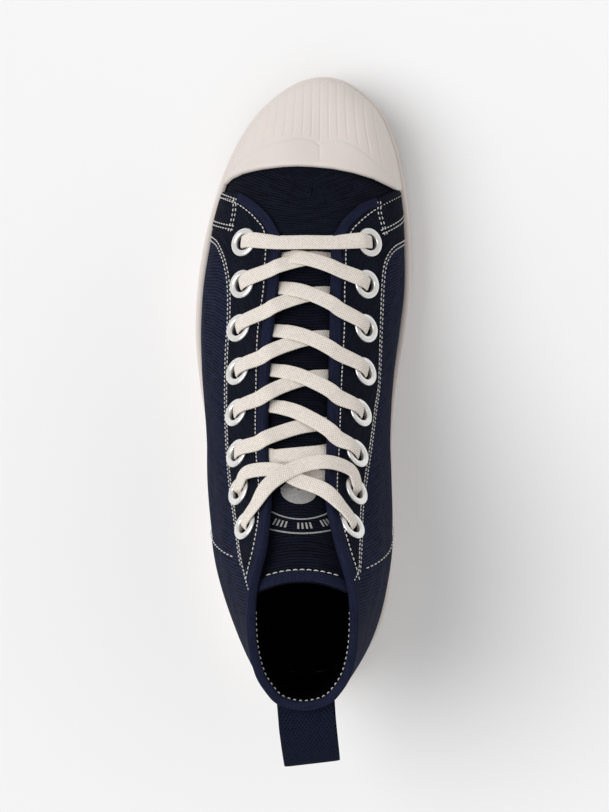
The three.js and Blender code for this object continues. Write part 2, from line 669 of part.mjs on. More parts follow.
const RUBBER = 0xded5ce;
const CANVAS = 0x14192c;
const COTTON = 0xe8e0d6;
const STEEL = 0xdcdcda;
add('outsole', outsole(), RUBBER, 0.6);
add('foxing', foxing(), RUBBER, 0.55);
add('insole', insole(), 0x101218, 0.9);
add('upper', upper(), CANVAS, 0.9);
add('toe_cap', toeCap(), RUBBER, 0.5);
add('tongue', tongue(), 0x10131d, 0.9);
EYELETS.forEach((row, index) => {
  add(`eyelet_outer_${index + 1}`, eyelet(row.outer, row.along), STEEL, 0.3, 0.8);
  add(`eyelet_inner_${index + 1}`, eyelet(row.inner, row.along), STEEL, 0.3, 0.8);
});
add('lace_1', bar(), COTTON, 0.9);
CROSSINGS.forEach((row) => add(`lace_${row.row}`, crossing(row), COTTON, 0.9));
add('lace_7', underCrossing(), COTTON, 0.9);
add('lace_8', topCrossing(), COTTON, 0.9);
add('pull_loop', pullLoop(), CANVAS, 0.85);

export default group;
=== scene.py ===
# %% [markdown]
# # A canvas lace-up sneaker
#
# This notebook dresses a left canvas sneaker in Blender. The design (sizes, pieces and where they lie)
# comes from a CAD model, which the first cell loads as a fixed frame. Blender adds what the eye meets: the
# weave of the canvas, the stitches, the flutes of the toe cap, the tread and the lace as it is really threaded.
# Everything is worked out in the shoe's own millimetres and written in metres.

# %% Load the frame
import math

import bmesh
import bpy
import mathutils
import numpy as np
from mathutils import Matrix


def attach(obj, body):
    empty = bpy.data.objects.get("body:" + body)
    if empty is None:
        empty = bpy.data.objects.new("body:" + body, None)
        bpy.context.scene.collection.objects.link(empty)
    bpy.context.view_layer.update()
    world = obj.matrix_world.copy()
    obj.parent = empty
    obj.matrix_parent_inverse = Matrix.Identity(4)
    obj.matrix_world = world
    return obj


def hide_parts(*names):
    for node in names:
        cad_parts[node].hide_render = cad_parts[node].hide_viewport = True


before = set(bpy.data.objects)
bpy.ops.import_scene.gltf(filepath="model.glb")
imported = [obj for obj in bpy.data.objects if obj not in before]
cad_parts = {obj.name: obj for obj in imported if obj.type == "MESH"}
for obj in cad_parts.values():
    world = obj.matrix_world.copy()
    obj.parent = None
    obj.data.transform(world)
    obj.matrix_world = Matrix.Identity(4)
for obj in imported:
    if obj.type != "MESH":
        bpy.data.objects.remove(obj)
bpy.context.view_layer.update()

print("nodes in the frame:", len(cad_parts))

# %% [markdown]
# ## The floor, the light and the camera
#
# A dark shoe wants a pale floor that fades to white and one broad light, so that the
# navy cloth still shows its weave. A wide sun to the upper left throws the soft shadow to the right; the
# world fills the rest. The camera hangs above the shoe, a little to its inner side, with a long lens.

# %% Scene, floor and lamps
MM = 0.001
scene = bpy.context.scene
scene.view_settings.view_transform = "Standard"


def aim(item, target):
    """Turn an object so that its -Z axis looks at the target, with the shoe's length upright in the view."""
    look = np.array(target, float) - np.array(item.location)
    look /= np.linalg.norm(look)
    right = np.cross(look, (0, 1, 0))
    right /= np.linalg.norm(right)
    up = np.cross(right, look)
    item.rotation_euler = mathutils.Matrix(np.array([right, up, -look]).T.tolist()).to_euler()


def sun(name, location, spread, power, target=(0.0, 0.08, 0.04)):
    """A sun seen as a disc of spread degrees, as a large soft box is, that lights the floor evenly."""
    light = bpy.data.lights.new(name, "SUN")
    light.angle = math.radians(spread)
    light.energy = power
    item = bpy.data.objects.new(name, light)
    scene.collection.objects.link(item)
    item.location = location
    aim(item, target)
    return item


KEY_FROM = (-0.95, 0.2, 1.5)
KEY_SPREAD, KEY_POWER = 42, 1.55
WORLD_POWER = 0.66
sun("key_sun", KEY_FROM, KEY_SPREAD, KEY_POWER)

world = bpy.data.worlds.new("studio")
scene.world = world
world.use_nodes = True
background = world.node_tree.nodes["Background"].inputs
background["Color"].default_value = (1.0, 1.0, 1.0, 1.0)
background["Strength"].default_value = WORLD_POWER

# %% The camera
CAMERA_AT = (0.0569, 0.0869, 1.6)       # above the shoe, a little to its inner side
CAMERA_LOOK = (-0.0002, 0.0872, 0.0)
SENSOR = 36.0
FOCAL = 165.0

camera_data = bpy.data.cameras.new("camera")
camera_data.sensor_width = SENSOR
camera_data.lens = FOCAL
camera_data.clip_start = 0.05
camera = bpy.data.objects.new("camera", camera_data)
scene.collection.objects.link(camera)
camera.location = CAMERA_AT
aim(camera, CAMERA_LOOK)
scene.camera = camera
print("camera", round(math.dist(CAMERA_AT, CAMERA_LOOK), 3), "m from the floor under the shoe's middle")

# %% [markdown]
# ## Shader sums as Python sums
#
# A material's pattern is arithmetic on coordinates. Blender does it with Math nodes, which are tedious to add
# by hand, so a small class wraps a node's output and lets Python's + - * and a few functions add them.

# %% The wire class and the material maker


class Wire:
    """One output of a shader node. Sums with it add Math nodes, and give a new Wire."""

    def __init__(self, paint, socket):
        self.paint = paint
        self.socket = socket

    def math(self, operation, *others):
        """A Math node of this wire and the others."""
        inputs = dict(enumerate((self,) + others))
        return self.paint.node("ShaderNodeMath", {"operation": operation}, inputs)

    def __rsub__(self, other):
        return (self * -1) + other

    def step(self, low, high):
        """0 below low, 1 above high, with a smooth rise between them."""
        return self.paint.node("ShaderNodeMapRange", {"interpolation_type": "SMOOTHSTEP"},
                               {"Value": self, "From Min": low, "From Max": high})


OPERATIONS = {"__add__": "ADD", "__radd__": "ADD", "__sub__": "SUBTRACT", "__mul__": "MULTIPLY",
              "__rmul__": "MULTIPLY", "sine": "SINE", "size": "ABSOLUTE", "most": "MAXIMUM"}
for name, operation in OPERATIONS.items():
    setattr(Wire, name, lambda self, *others, kind=operation: self.math(kind, *others))


class Paint:
    """A material and the one method that adds its nodes."""

    def __init__(self, name):
        self.material = bpy.data.materials.new(name)
        self.material.use_nodes = True
        self.tree = self.material.node_tree
        self.tree.nodes.clear()

    def node(self, kind, settings=None, inputs=None, output=0):
        """Add a node: its settings first, then the values or links of its sockets. Gives an output."""
        made = self.tree.nodes.new(kind)
        for name, value in (settings or {}).items():
            setattr(made, name, value)
        for name, value in (inputs or {}).items():
            if isinstance(value, Wire):
                self.tree.links.new(value.socket, made.inputs[name])
            else:
                made.inputs[name].default_value = value
        return Wire(self, made.outputs[output]) if made.outputs else None

    def place(self):
        """The point's own place on the object, as X, Y and Z wires, in millimetres."""
        point = self.node("ShaderNodeTexCoord", output=3)
        split = self.node("ShaderNodeSeparateXYZ", {}, {0: point})
        return [Wire(self, split.socket.node.outputs[k]) * 1000.0 for k in range(3)]

    def cloth(self):
        """The piece's UV map, as two wires, in millimetres along and up the cloth."""
        point = self.node("ShaderNodeUVMap", {"uv_map": "cloth"})
        split = self.node("ShaderNodeSeparateXYZ", {}, {0: point})
        return [Wire(self, split.socket.node.outputs[k]) for k in range(2)]

    def noise(self, scale, detail=3.0, rough=0.55):
        """A cloudy value near 0.5 that varies over 1 / scale metres of the object."""
        point = self.node("ShaderNodeTexCoord", output=3)
        return self.node("ShaderNodeTexNoise", {},
                         {"Vector": point, "Scale": scale, "Detail": detail, "Roughness": rough})

    def blend(self, factor, first, second):
        """From the first colour to the second one."""
        return self.node("ShaderNodeMix", {"data_type": "RGBA"}, {0: factor, 6: first, 7: second}, output=2)

    def bump(self, height, distance, strength):
        """A normal that follows the height; distance is how many millimetres a height of 1 stands up."""
        inputs = {"Strength": strength, "Distance": distance * MM, "Height": height}
        return self.node("ShaderNodeBump", {}, inputs)

    def finish(self, **inputs):
        """The surface and the end of the material; Base_Color stands for the socket Base Color."""
        names = {name.replace("_", " "): value for name, value in inputs.items()}
        surface = self.node("ShaderNodeBsdfPrincipled", {}, names)
        self.node("ShaderNodeOutputMaterial", {}, {"Surface": surface})
        return self.material


def colour(red, green, blue):
    """A linear colour from the 0 to 255 numbers that a screen shows."""
    def linear(value):
        value = value / 255
        return value / 12.92 if value <= 0.04045 else ((value + 0.055) / 1.055) ** 2.4
    return (linear(red), linear(green), linear(blue), 1.0)


print("paper white on a screen is", np.round(colour(250, 250, 250)[:3], 2), "in linear light")

# %% The floor
FLOOR_REACH = 6.0           # half the side of the square of paper, in metres


def make_floor():
    """A square of pale paper at height 0, hardly clouded."""
    paint = Paint("floor_paper")
    cloud = paint.noise(3.0, 2.0)
    shade = paint.blend(cloud, (0.86, 0.86, 0.865, 1), (0.88, 0.88, 0.88, 1))
    material = paint.finish(Base_Color=shade, Roughness=0.9)
    mesh = bpy.data.meshes.new("floor")
    signs = [(-1, -1), (1, -1), (1, 1), (-1, 1)]
    mesh.from_pydata([(FLOOR_REACH * a, FLOOR_REACH * b, 0) for a, b in signs], [], [(0, 1, 2, 3)])
    floor = bpy.data.objects.new("floor", mesh)
    scene.collection.objects.link(floor)
    mesh.materials.append(material)


make_floor()
print("the floor is", 2 * FLOOR_REACH, "m wide")

# %% [markdown]
# ## The shoe's skin as a function
#
# Cloth, rubber and laces all follow one surface, so that surface is a function before it is a mesh. Ribs stand
# round the sole like a boat's frames: rib 0 at the back of the heel, 19 at the tip of the toes by the outer
# side, 38 at the heel again by the inner side. Along each rib, v goes from the rubber's rim (0) up to the
# collar, the throat or the ridge over the toes (1), and -1 is down inside the rubber. A point of the skin is
# then skin(place, v, lift), with the lift in millimetres above the cloth. Two small tables hold every size.

# %% Tables of the sole and the ribs
HEEL_TO_ORIGIN = 32.0       # the frame's origin is this far in front of the back of the heel
FOXING = 3.0                # thickness of the rubber sidewall
CLEAR = 0.3
WALL = 1.8                  # thickness of the upper, cloth and lining
INSET = FOXING + CLEAR + 0.1    # from the sidewall's face in to the upper's


def table(names, rows):
    """A table as one array for each named column."""
    return dict(zip(names.split(), np.array(rows, float).T))


SOLE = table("along treadLat treadMed rimLat rimMed floor plate rim", [
    [0, 1.2, 1.2, 1.8, 1.8, 0, 15, 27],
    [2.2, -9.6, 12.0, -8.9, 12.4, 0, 15, 27],
    [8.5, -19.2, 21.2, -17.8, 21.2, 0, 15, 27],
    [19, -26.9, 29.2, -24.9, 29.3, 0, 15, 27],
    [33, -32.4, 34.4, -30.6, 34.5, 0, 15, 26.8],
    [50, -35.7, 35.6, -35.0, 37.0, 0, 14.8, 26.5],
    [70, -36.4, 31.9, -37.7, 38.2, 0, 14.5, 26.2],
    [90, -36.2, 26.2, -39.5, 37.8, 0.8, 13.4, 26],
    [110, -38.2, 24.0, -40.8, 38.0, 1.0, 12.7, 25.7],
    [130, -42.4, 25.0, -43.8, 40.1, 0.5, 12.6, 25.4],
    [150, -45.0, 34.4, -45.5, 43.4, 0, 12.5, 25.1],
    [169, -45.5, 45.0, -44.7, 45.6, 0, 12.2, 25],
    [187, -43.0, 46.0, -42.1, 45.6, 0, 12, 25],
    [204, -38.9, 44.6, -38.0, 44.2, 0.7, 11.8, 25.6],
    [219, -33.3, 42.2, -32.9, 41.9, 2.2, 11.5, 27],
    [232, -26.7, 38.8, -26.6, 38.5, 4.2, 11.3, 28.6],
    [243, -19.0, 33.8, -18.8, 33.6, 6.2, 11.2, 30],
    [251, -10.0, 26.4, -9.8, 26.2, 7.8, 11, 31],
    [256.2, -0.8, 18.0, -0.6, 17.9, 8.8, 11, 31.6],
    [258, 8.8, 8.8, 9.0, 9.0, 9.1, 11, 31.8],
])
RIBS = table("topAlong topMid topHalf top lean rise inward back up reach", [
    [-0.8, 3.5, 0, 119, 0.1, 0.35, 0, 0, 1, 0.3],
    [1.2, 3.5, 8.8, 119.2, 0.08, 0.35, 0, 0, 1, 0.3],
    [5.6, 3.6, 13.6, 120, 0.06, 0.35, 0.02, 0, 1, 0.3],
    [13.5, 3.6, 18, 122, 0.08, 0.35, 0.05, 0, 1, 0.3],
    [27, 3.6, 20.4, 126, 0.1, 0.35, 0.14, 0, 1, 0.3],
    [46, 3.6, 19.6, 130, 0.12, 0.35, 0.45, 0, 1, 0.3],
    [64, 3.0, 14.6, 126.5, 0.17, 0.34, 0.9, 0, 0.9, 0.28],
    [82, 1.4, 11.6, 114, 0.24, 0.34, 1, 0, 0.72, 0.28],
    [103, 0.4, 12.4, 98, 0.28, 0.33, 1, 0, 0.62, 0.3],
    [124, 0.3, 12.6, 83.5, 0.24, 0.33, 1, 0, 0.54, 0.31],
    [145, 0.7, 12.4, 72, 0.13, 0.33, 1, 0, 0.45, 0.32],
    [166, 1.8, 11.2, 63.5, 0.05, 0.32, 1, 0, 0.32, 0.34],
    [185, 2.6, 10, 58.5, 0, 0.32, 1, 0, 0.15, 0.36],
    [196, 3.4, 0, 57.5, 0, 0.32, 1, 0.04, 0.02, 0.4],
    [206, 4.4, 0, 54.6, 0, 0.32, 1, 0.14, 0.05, 0.42],
    [213, 5.2, 0, 52.2, 0, 0.32, 1, 0.34, 0.12, 0.44],
    [218, 5.8, 0, 50.4, 0, 0.32, 1, 0.62, 0.22, 0.46],
    [221.5, 6.2, 0, 49, 0, 0.32, 0.8, 0.9, 0.33, 0.48],
    [223.5, 6.5, 0, 48.2, 0, 0.32, 0.38, 1, 0.37, 0.5],
    [224.2, 6.6, 0, 47.9, 0, 0.32, 0, 1, 0.38, 0.5],
])
LAST = len(SOLE["along"]) - 1
AROUND = 2 * LAST

print("the sole is", SOLE["along"][-1], "mm long")

# %% Smooth columns round the shoe
STEP = 0.01                 # of place or v, for slopes
INDEX = np.arange(AROUND)
ROW = np.minimum(INDEX, AROUND - INDEX)
SIDE = np.where(INDEX > LAST, 1.0, -1.0) * (INDEX % LAST != 0)


def smooth(values, place):
    """The cubic through values at whole places, its slope at each the mean of its neighbours'."""
    place = np.asarray(place, float)
    first = np.floor(place).astype(int)
    t = place - first
    a, b, c, d = (values[(first + step) % AROUND] for step in (-1, 0, 1, 2))
    slope_b, slope_c = (c - a) / 2, (d - b) / 2
    bend = 3 * (c - b) - 2 * slope_b - slope_c
    return b + t * (slope_b + t * (bend + t * (2 * (b - c) + slope_b + slope_c)))


def even(column):
    """A function of place from a column that holds for both sides of the shoe."""
    return lambda place: smooth(column[ROW], place)


def sided(column):
    """The same for a column that turns its sign on the inner side."""
    return lambda place: smooth(column[ROW] * SIDE, place)


def edge(name):
    """The same for an edge that has one column on each side of the shoe."""
    values = np.where(INDEX > LAST, SOLE[name + "Med"][ROW], SOLE[name + "Lat"][ROW])
    return lambda place: smooth(values, place)


along, floor_under, plate, rim_height = (even(SOLE[name]) for name in ("along", "floor", "plate", "rim"))
tread_x, rim_x = edge("tread"), edge("rim")


def floor_at(place):
    """Height of the sole's lowest edge, which rises at the toe."""
    return np.maximum(0, floor_under(place))


def plate_top(place):
    """Height of the top of the sole inside the sidewall."""
    return floor_at(place) + plate(place)


def unit(vectors):
    """Each vector over its own length."""
    return vectors / np.maximum(np.linalg.norm(vectors, axis=-1, keepdims=True), 1e-12)


def bezier(t, start, one, two, stop):
    """The curve from start to stop that leaves towards one and arrives from two, at t from 0 to 1."""
    return (1 - t) ** 3 * start + 3 * (1 - t) ** 2 * t * one + 3 * (1 - t) * t * t * two + t ** 3 * stop


FLARE = 2.2                 # how soon the sidewall leans out between the tread's edge and the rim


def sidewall(place, height, inset):
    """The rubber's side: x = tread + (1 - (1 - rise)^FLARE) (rim - tread), moved in by inset, and which way is
    outwards."""
    place, height = np.broadcast_arrays(np.asarray(place, float), np.asarray(height, float))
    bottom = floor_at(place)
    rise = np.clip((height - bottom) / (rim_height(place) - bottom), 0, 1)
    flare = 1 - (1 - rise) ** FLARE
    behind, ahead = place - STEP, place + STEP

    def x(at):
        return tread_x(at) + flare * (rim_x(at) - tread_x(at))
    tangent = unit(np.stack([x(ahead) - x(behind), along(ahead) - along(behind)], -1))
    outward = np.stack([-tangent[..., 1], tangent[..., 0], 0 * place], -1)
    point = np.stack([x(place), along(place), height], -1)
    return point - np.asarray(inset)[..., None] * outward, outward


def rib_top(place):
    """The upper end of each rib: on the collar, the throat's edge or the ridge over the toes."""
    half = sided(RIBS["topHalf"])(place)
    outer = np.mod(place, AROUND) < LAST
    apart = np.where(outer, np.minimum(0, half), np.maximum(0, half))
    across = even(RIBS["topMid"])(place) + apart
    return np.stack([across, even(RIBS["topAlong"])(place), even(RIBS["top"])(place)], -1)


def rib(place, v):
    """A Bezier curve from the sidewall's rim (v = 0) to the rib's top end (v = 1); below the rim it follows
    the sidewall down to the outsole (v = -1)."""
    place, v = np.broadcast_arrays(np.asarray(place, float), np.asarray(v, float))
    start, outward = sidewall(place, rim_height(place), INSET)
    end = rib_top(place)
    chord = np.linalg.norm(end - start, axis=-1, keepdims=True)
    leave = outward * even(RIBS["lean"])(place)[..., None] + np.array([0, 0, 1.0])
    towards = [-sided(RIBS["inward"])(place), -even(RIBS["back"])(place), even(RIBS["up"])(place)]
    arrive = unit(np.stack(towards, -1))
    one = start + leave * even(RIBS["rise"])(place)[..., None] * chord
    two = end - arrive * even(RIBS["reach"])(place)[..., None] * chord
    t = np.clip(v, 0, None)[..., None]
    curve = bezier(t, start, one, two, end)
    top = rim_height(place)
    low, _ = sidewall(place, top + np.minimum(v, 0) * (top - plate_top(place) - CLEAR), INSET)
    return np.where((v < 0)[..., None], low, curve)


def skin(place, v, lift=0.0):
    """The point lift above the upper's face at (place, v), and the direction that the face looks in."""
    place, v = np.broadcast_arrays(np.asarray(place, float), np.asarray(v, float))
    up = rib(place, np.minimum(v + STEP, 1)) - rib(place, np.maximum(v - STEP, -1))
    ahead = rib(place + STEP, v) - rib(place - STEP, v)
    normal = unit(np.cross(up, ahead))
    return rib(place, v) + normal * np.asarray(lift)[..., None], normal


RIDGE_FROM = 13.0           # from this rib to its partner the two sides meet in a ridge, without an opening


def face(place, v, lift=0.0):
    """As skin, but with one common normal where the two sides meet on the ridge over the toes."""
    point, normal = skin(place, v)
    partner = AROUND - np.asarray(place, float)
    _, other = skin(partner, v)
    near = np.clip(LAST - RIDGE_FROM + 1 - np.abs(np.asarray(place) - LAST), 0, 1)
    on_ridge = np.clip((np.asarray(v) - 0.9) / 0.1, 0, 1) * near
    both = unit(normal + on_ridge[..., None] * other)
    return point + both * np.asarray(lift)[..., None], both


print("toe tip", np.round(skin(19.0, 0.0)[0], 1), "collar back", np.round(skin(0.0, 1.0)[0], 1))

# %% [markdown]
# ## From a grid of points to a closed mesh
#
# Nearly every piece is a section carried along a path: a lace, a tape, a rubber band, and also a sheet of cloth,
# whose section is its outer face and its inner face joined into one thin loop. So one function turns a block of
# section rings into faces and closes the ends, and one function makes the object, turns the faces outwards,
# welds its seams and lets it ride on the shoe's body.

# %% Mesh helpers


def loft(rings, uv, closed=False, ends="strip"):
    """Faces between neighbouring section rings, rings[k, j], each ring a closed loop. uv has one more column
    than a ring, and one more row if the path is closed. An end is a strip that joins opposite points of its
    ring, one many-sided face, or left open for a weld."""
    count, size = rings.shape[:2]
    k = np.arange(count if closed else count - 1)[:, None]
    j = np.arange(size)[None, :]
    corners = [(k, j), (k + 1, j), (k + 1, j + 1), (k, j + 1)]
    faces = np.stack([(a % count) * size + b % size + 0 * (k + j) for a, b in corners], -1).reshape(-1, 4)
    maps = np.stack([uv[a + 0 * j, b + 0 * k] for a, b in corners], -2).reshape(-1, 4, 2)
    blocks = [(faces, maps)]
    if closed:
        return blocks
    ends = (ends, ends) if isinstance(ends, str) else ends
    for row, kind in zip((0, count - 1), ends):
        if kind == "strip":
            t = np.arange(size // 2 - 1)
            strip = np.stack([t, t + 1, size - 2 - t, size - 1 - t], -1)
        elif kind == "face":
            strip = np.arange(size)[None, :]
        else:
            continue
        strip = strip if row == 0 else strip[:, ::-1]
        blocks.append((strip + row * size, uv[row, strip]))
    return blocks


def sheet_rings(outer, inner, uv):
    """The rings of a thin sheet: the outer face up, the inner face down. uv belongs to the outer face."""
    rings = np.concatenate([outer, inner[:, ::-1]], axis=1)
    both = np.concatenate([uv, uv[:, ::-1], uv[:, :1]], axis=1)
    return rings, both


def signed_volume(points, faces):
    """Six times the enclosed volume: the sum over triangles of a . (b x c), positive if they face outwards."""
    total = 0.0
    for block in faces:
        for step in range(1, block.shape[1] - 1):
            a, b, c = (points[block[:, index]] for index in (0, step, step + 1))
            total += np.einsum("ij,ij->", a, np.cross(b, c))
    return total


WELD = 2e-6                 # metres
made_triangles = {}


def piece(name, points, blocks, material, replaces=(), weld=False, sharp=45.0,
          second=None, on_second=None):
    """A mesh object from points in the shoe's millimetres and blocks of (faces, uv of each corner). on_second
    marks, face by face from the first, those that take the second material."""
    place = (np.asarray(points).reshape(-1, 3) - (0, HEEL_TO_ORIGIN, 0)) * MM
    faces = [block[0] for block in blocks]
    if signed_volume(place - place.mean(0), faces) < 0:
        faces = [block[:, ::-1] for block in faces]
        blocks = [(block[0], block[1][:, ::-1]) for block in blocks]
    mesh = bpy.data.meshes.new(name)
    corners = np.concatenate([block.ravel() for block in faces])
    sizes = np.concatenate([np.full(len(block), block.shape[1]) for block in faces])
    mesh.vertices.add(len(place))
    mesh.vertices.foreach_set("co", place.astype(np.float32).ravel())
    mesh.loops.add(len(corners))
    mesh.loops.foreach_set("vertex_index", corners.astype(np.int32))
    mesh.polygons.add(len(sizes))
    mesh.polygons.foreach_set("loop_start", np.concatenate([[0], np.cumsum(sizes)[:-1]]).astype(np.int32))
    mesh.update(calc_edges=True)
    layer = mesh.uv_layers.new(name="cloth")
    maps = np.concatenate([block[1].reshape(-1, 2) for block in blocks])
    layer.uv.foreach_set("vector", maps.astype(np.float32).ravel())
    if weld:
        form = bmesh.new()
        form.from_mesh(mesh)
        bmesh.ops.remove_doubles(form, verts=form.verts, dist=WELD)
        form.to_mesh(mesh)
        form.free()
    mesh.validate()
    mesh.shade_smooth()
    mesh.set_sharp_from_angle(angle=math.radians(sharp))
    made = bpy.data.objects.new(name, mesh)
    scene.collection.objects.link(made)
    mesh.materials.append(material)
    if second is not None:
        mesh.materials.append(second)
        marked = np.zeros(len(mesh.polygons), np.int32)
        marked[:len(on_second)] = on_second
        mesh.polygons.foreach_set("material_index", marked)
    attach(made, "root")
    if replaces:
        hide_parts(*replaces)
    made_triangles[name] = len(mesh.loops) - 2 * len(mesh.polygons)
    return made


def lengths(points):
    """Running length along rows of points."""
    steps = np.linalg.norm(np.diff(points, axis=0), axis=-1)
    return np.concatenate([[0.0], np.cumsum(steps)])


def cloth_map(points):
    """UV in millimetres for a grid of points: u along the mean row, v up each column."""
    u = lengths(points.mean(1))[:, None] + 0 * points[..., 0]
    rise = np.linalg.norm(np.diff(points, axis=1), axis=-1)
    v = np.concatenate([np.zeros((len(points), 1)), np.cumsum(rise, 1)], 1)
    return np.stack([u, v], -1)


def cubic_line(stops, steps):
    """The cubic (Catmull-Rom) through the stops, with that many steps for each of them."""
    stops = np.asarray(stops, float)
    fine = np.linspace(0, len(stops) - 1, steps * len(stops))
    first = np.minimum(fine.astype(int), len(stops) - 2)
    t = (fine - first)[:, None]
    padded = np.concatenate([[2 * stops[0] - stops[1]], stops, [2 * stops[-1] - stops[-2]]])
    a, b, c, d = (padded[first + step] for step in range(4))
    return b + t * ((c - a) / 2 + t * (a - 2.5 * b + 2 * c - d / 2 + t * (1.5 * (b - c) + (d - a) / 2)))


def through(stops, count):
    """The cubic through the stops at count equal steps of its own length. A stop may carry more numbers than
    its three coordinates, and they are carried along."""
    path = cubic_line(stops, 24)
    run = lengths(path[:, :3])
    at = np.linspace(0, run[-1], count)
    return np.stack([np.interp(at, run, path[:, column]) for column in range(path.shape[1])], -1)


def ribbon(path, across, width, thick, corner=0.6, sides=20):
    """Rings of a flat strip: at each path point a superellipse, broad along across and thin across the path.
    Its radius is 1 / (|cos|^p + |sin|^p)^(1/p), so corner 1 gives an ellipse and small values a rectangle."""
    ahead = unit(np.gradient(path, axis=0))
    across = unit(across - np.sum(across * ahead, -1, keepdims=True) * ahead)
    up = np.cross(ahead, across)
    turn = 2 * np.pi * (np.arange(sides) + 0.5) / sides
    c, s = np.cos(turn), np.sin(turn)
    a = np.sign(c) * np.abs(c) ** corner
    b = np.sign(s) * np.abs(s) ** corner
    width, thick = (np.broadcast_to(value, len(path))[:, None, None] / 2 for value in (width, thick))
    rings = path[:, None] + a[:, None] * across[:, None] * width + b[:, None] * up[:, None] * thick
    u = lengths(path)[:, None] + np.zeros(sides + 1)
    v = np.concatenate([a, a[:1]])[None, :] * width[:, :, 0]
    return rings, np.stack([u, v + 0 * u], -1)


def soft_step(x, low, high):
    """0 below low, 1 above high, 3t^2 - 2t^3 between."""
    t = np.clip((x - low) / (high - low), 0, 1)
    return t * t * (3 - 2 * t)


test_circle = [[math.cos(turn), math.sin(turn), 0] for turn in np.linspace(0, 2 * math.pi, 13)]
print("a circle of 1 mm measures", round(lengths(through(test_circle, 60))[-1], 2), "mm round")

# %% Regions and lines on the skin


def distance_to(points, line):
    """The distance from each point to a polyline: the least over its segments."""
    flat = points.reshape(-1, 3)
    nearest = np.full(len(flat), np.inf)
    for start, end in zip(line[:-1], line[1:]):
        along_it = end - start
        t = np.clip((flat - start) @ along_it / max(along_it @ along_it, 1e-9), 0, 1)[:, None]
        nearest = np.minimum(nearest, np.linalg.norm(flat - start - t * along_it, axis=-1))
    return nearest.reshape(points.shape[:-1])


def inside(place, v, corners):
    """True where (place, v) lies in the polygon of corners: an odd number of its sides lie to one side."""
    odd = np.zeros(np.shape(place), bool)
    for (p0, v0), (p1, v1) in zip(corners, np.roll(corners, -1, 0)):
        crosses = (v0 > v) != (v1 > v)
        with np.errstate(divide="ignore", invalid="ignore"):
            odd ^= crosses & (place < (p1 - p0) * (v - v0) / (v1 - v0) + p0)
    return odd


def skin_line(stops, lift=0.0, count=60):
    """A smooth line on the skin through (place, v) stops, as points in the shoe's millimetres."""
    stops = np.asarray(stops, float)
    row = np.linspace(0, len(stops) - 1, count)
    place, v = (np.interp(row, np.arange(len(stops)), stops[:, column]) for column in (0, 1))
    return face(place, v, lift)[0]


SHOE_MIDDLE = 3
FIRST_GUESS = (12.0, 0.8)   # place and v
NEWTON_ROUNDS = 25


def locate(x, ahead):
    """The place and v of the skin point with this x and distance from the heel, by Newton's steps."""
    x, ahead = np.broadcast_arrays(np.asarray(x, float), np.asarray(ahead, float))
    place = np.where(x > SHOE_MIDDLE, AROUND - FIRST_GUESS[0], FIRST_GUESS[0])
    v = np.full(x.shape, FIRST_GUESS[1])
    step = 1e-3
    for _ in range(NEWTON_ROUNDS):
        here = rib(place, v)
        aside = (rib(place + step, v) - here) / step
        up = (rib(place, v + step) - here) / step
        dx, dy = x - here[..., 0], ahead - here[..., 1]
        area = aside[..., 0] * up[..., 1] - aside[..., 1] * up[..., 0]
        place = place + np.clip((dx * up[..., 1] - dy * up[..., 0]) / area, -1, 1)
        v = np.clip(v + np.clip((dy * aside[..., 0] - dx * aside[..., 1]) / area, -0.1, 0.1), 0.02, 0.99)
    return place, v


EYELETS = table("ahead outer inner", [
    [187, -22.9, 27.9],
    [169.5, -23.4, 26.8],
    [151, -24.5, 26.5],
    [133, -24.4, 26.3],
    [116, -24.4, 24.6],
    [99.5, -23.4, 23.4],
    [84.5, -22.1, 23.3],
    [71, -18.9, 22.2],
])
EYELET_AT = {side: locate(EYELETS[side], EYELETS["ahead"]) for side in ("outer", "inner")}
for side, (place, v) in EYELET_AT.items():
    print("the front eyelet on the", side, "side is at place", round(place[0], 2), "v", round(v[0], 2))

# %% [markdown]
# ## Finishes
#
# Canvas is a plain weave: thick weft ribs run along the shoe and thinner warp threads pass over and under them.
# The weave is drawn from the cloth's own map in millimetres, so that it bends with the cloth, and it drives both
# the colour (threads catch the light, the gaps stay dark) and a bump. Rubber is smooth with faint clouding. The
# lace is a flat plait, which is two sets of slanting threads.

# %% Canvas and other cloths


def woven(paint, u, v, warp, weft):
    """Height 0 to 1 of a plain weave: each thread is a half sine across, and dips where it passes under."""
    a, b = u * (math.pi / warp), v * (math.pi / weft)
    over = a.sine() * b.sine() * 0.5 + 0.5
    weft_thread = b.sine().size()
    warp_thread = a.sine().size()
    return over * weft_thread + (1 - over) * (warp_thread * 0.8)


def cloth_material(name, dark, light, warp, weft, depth=0.12, turn=0.0):
    """A woven cloth: painted shade between its threads, painted light on them, slow wear and fine fuzz over
    them.
    """
    paint = Paint(name)
    u, v = paint.cloth()
    c, s = math.cos(math.radians(turn)), math.sin(math.radians(turn))
    u, v = u * c + v * s, v * c - u * s
    weave = woven(paint, u, v, warp, weft)
    wear = paint.noise(28.0, 4.0)
    fine = paint.noise(900.0, 2.0)
    strand = paint.node("ShaderNodeCombineXYZ", {}, {0: u * 0.12, 1: v * (0.7 / weft)})
    slub = paint.node("ShaderNodeTexNoise", {}, {"Vector": strand, "Scale": 1.0, "Detail": 2.0})
    height = weave * 0.85 + fine * 0.35 + slub * 0.4
    row = (v * (math.pi / weft)).sine().size()
    # The weave and row terms paint shade between the threads and light on their tops; slub, fine and wear are
    # random tone.
    tone = weave * 0.75 + row * 0.3 + slub * 0.9 + fine * 0.6 + wear * 0.4 - 0.98
    shade = paint.blend(tone.step(0.0, 1.1), dark, light)
    normal = paint.bump(height, depth, 0.8)
    return paint.finish(Base_Color=shade, Roughness=0.95, Normal=normal, Specular_IOR_Level=0.08)


